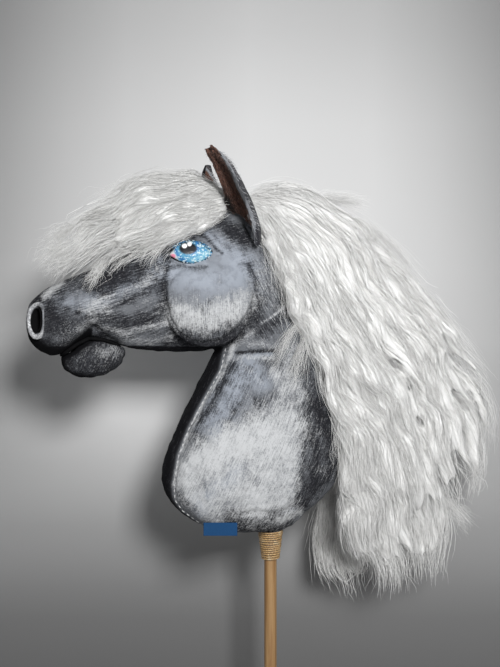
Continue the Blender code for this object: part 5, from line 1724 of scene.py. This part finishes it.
# %% Twine
TURNS = 13
TURN_STEPS = 36
TWINE_RADIUS = 0.0013
PLIES = 3
PLY_RADIUS = 0.00078
PLY_OFFSET = 0.00062
TWIST = 0.0016
END_HEIGHT = 0.004
winding = points_of(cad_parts["twine_winding"])
low, high = winding[:, 2].min() + TWINE_RADIUS, winding[:, 2].max() - TWINE_RADIUS
heights = winding[:, 2]
reach = np.hypot(winding[:, 0], winding[:, 1])
low_reach = np.sort(reach[heights < low + END_HEIGHT])[-6:].mean() - TWINE_RADIUS
high_reach = np.sort(reach[heights > high - END_HEIGHT])[-6:].mean() - TWINE_RADIUS
steps = np.linspace(0, 1, TURNS * TURN_STEPS)
turn = steps * TURNS * 2 * math.pi
radius = low_reach + (high_reach - low_reach) * steps
radius = radius + 0.0003 * np.sin(turn * 1.37) + 0.0002 * np.sin(turn * 3.1)
height = low + (high - low) * steps + 0.00025 * np.sin(turn * 0.83 + 1)
spine = np.column_stack((radius * np.cos(turn), radius * np.sin(turn), height))[None]
first, second = cross_frames(spine)
plies = []
for ply in range(PLIES):
    roll = turn * radius.mean() / TWIST + ply * 2 * math.pi / PLIES
    offset = PLY_OFFSET * (first[0] * np.cos(roll)[:, None] + second[0] * np.sin(roll)[:, None])
    plies.append(spine[0] + offset)
plies = np.stack(plies)
ends = np.interp(steps, (0, 0.004, 0.996, 1), (0.2, 1, 1, 0.2))
vertices, quads = tubes(plies, np.tile(PLY_RADIUS * ends, (PLIES, 1)), 7)
mesh = bpy.data.meshes.new("twine")
mesh.from_pydata(vertices.tolist(), [], quads.tolist())
mesh.polygons.foreach_set("use_smooth", [True] * len(mesh.polygons))
twine = new_object("twine", mesh)
jute, tree, shader = finish("glued_jute", Roughness=0.38, Coat_Weight=0.35, Coat_Roughness=0.25)
place = object_place(tree)
fibres = grain(tree, place, (700, 700, 900), detail=4, roughness=0.7)
# pale patches where the glued twine is worn
shade_and_wear = grain(tree, place, (90, 90, 90), detail=2)
colour = mixed(tree, ranged(tree, fibres, 0.36, 0.64), (0.22, 0.12, 0.045), (0.62, 0.42, 0.20))
colour = mixed(tree, ranged(tree, shade_and_wear, 0.55, 0.72, 0, 0.5), colour, (0.70, 0.60, 0.42))
coloured(tree, shader, colour)
raised(tree, shader, fibres, 0.0004)
dress(twine, jute)
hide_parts("twine_winding")
print("twine: low radius", round(low_reach, 4), "high radius", round(high_reach, 4))

# %% [markdown]
# The label is a folded ribbon of blue threads, and it stays bare.

# %% Label
ribbon, tree, shader = finish("woven_ribbon", Roughness=0.75, Specular_IOR_Level=0.2)
place = object_place(tree)
warp = {"Vector": place, "Scale": 420, "Distortion": 0.6}
warp = add(tree, "TexWave", warp, bands_direction="Z").outputs["Fac"]
weft = grain(tree, place, (900, 900, 200))
threads = reckoned(tree, "MULTIPLY", warp, weft)
coloured(tree, shader, mixed(tree, threads, (0.006, 0.042, 0.12), (0.016, 0.092, 0.235)))
raised(tree, shader, threads, 0.0003)
tab = melted(copied("ribbon_label", "label"), 0.0006, smoothing=2)
dress(tab, ribbon, "label")
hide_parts("label")
print("label:", len(tab.data.vertices), "points")
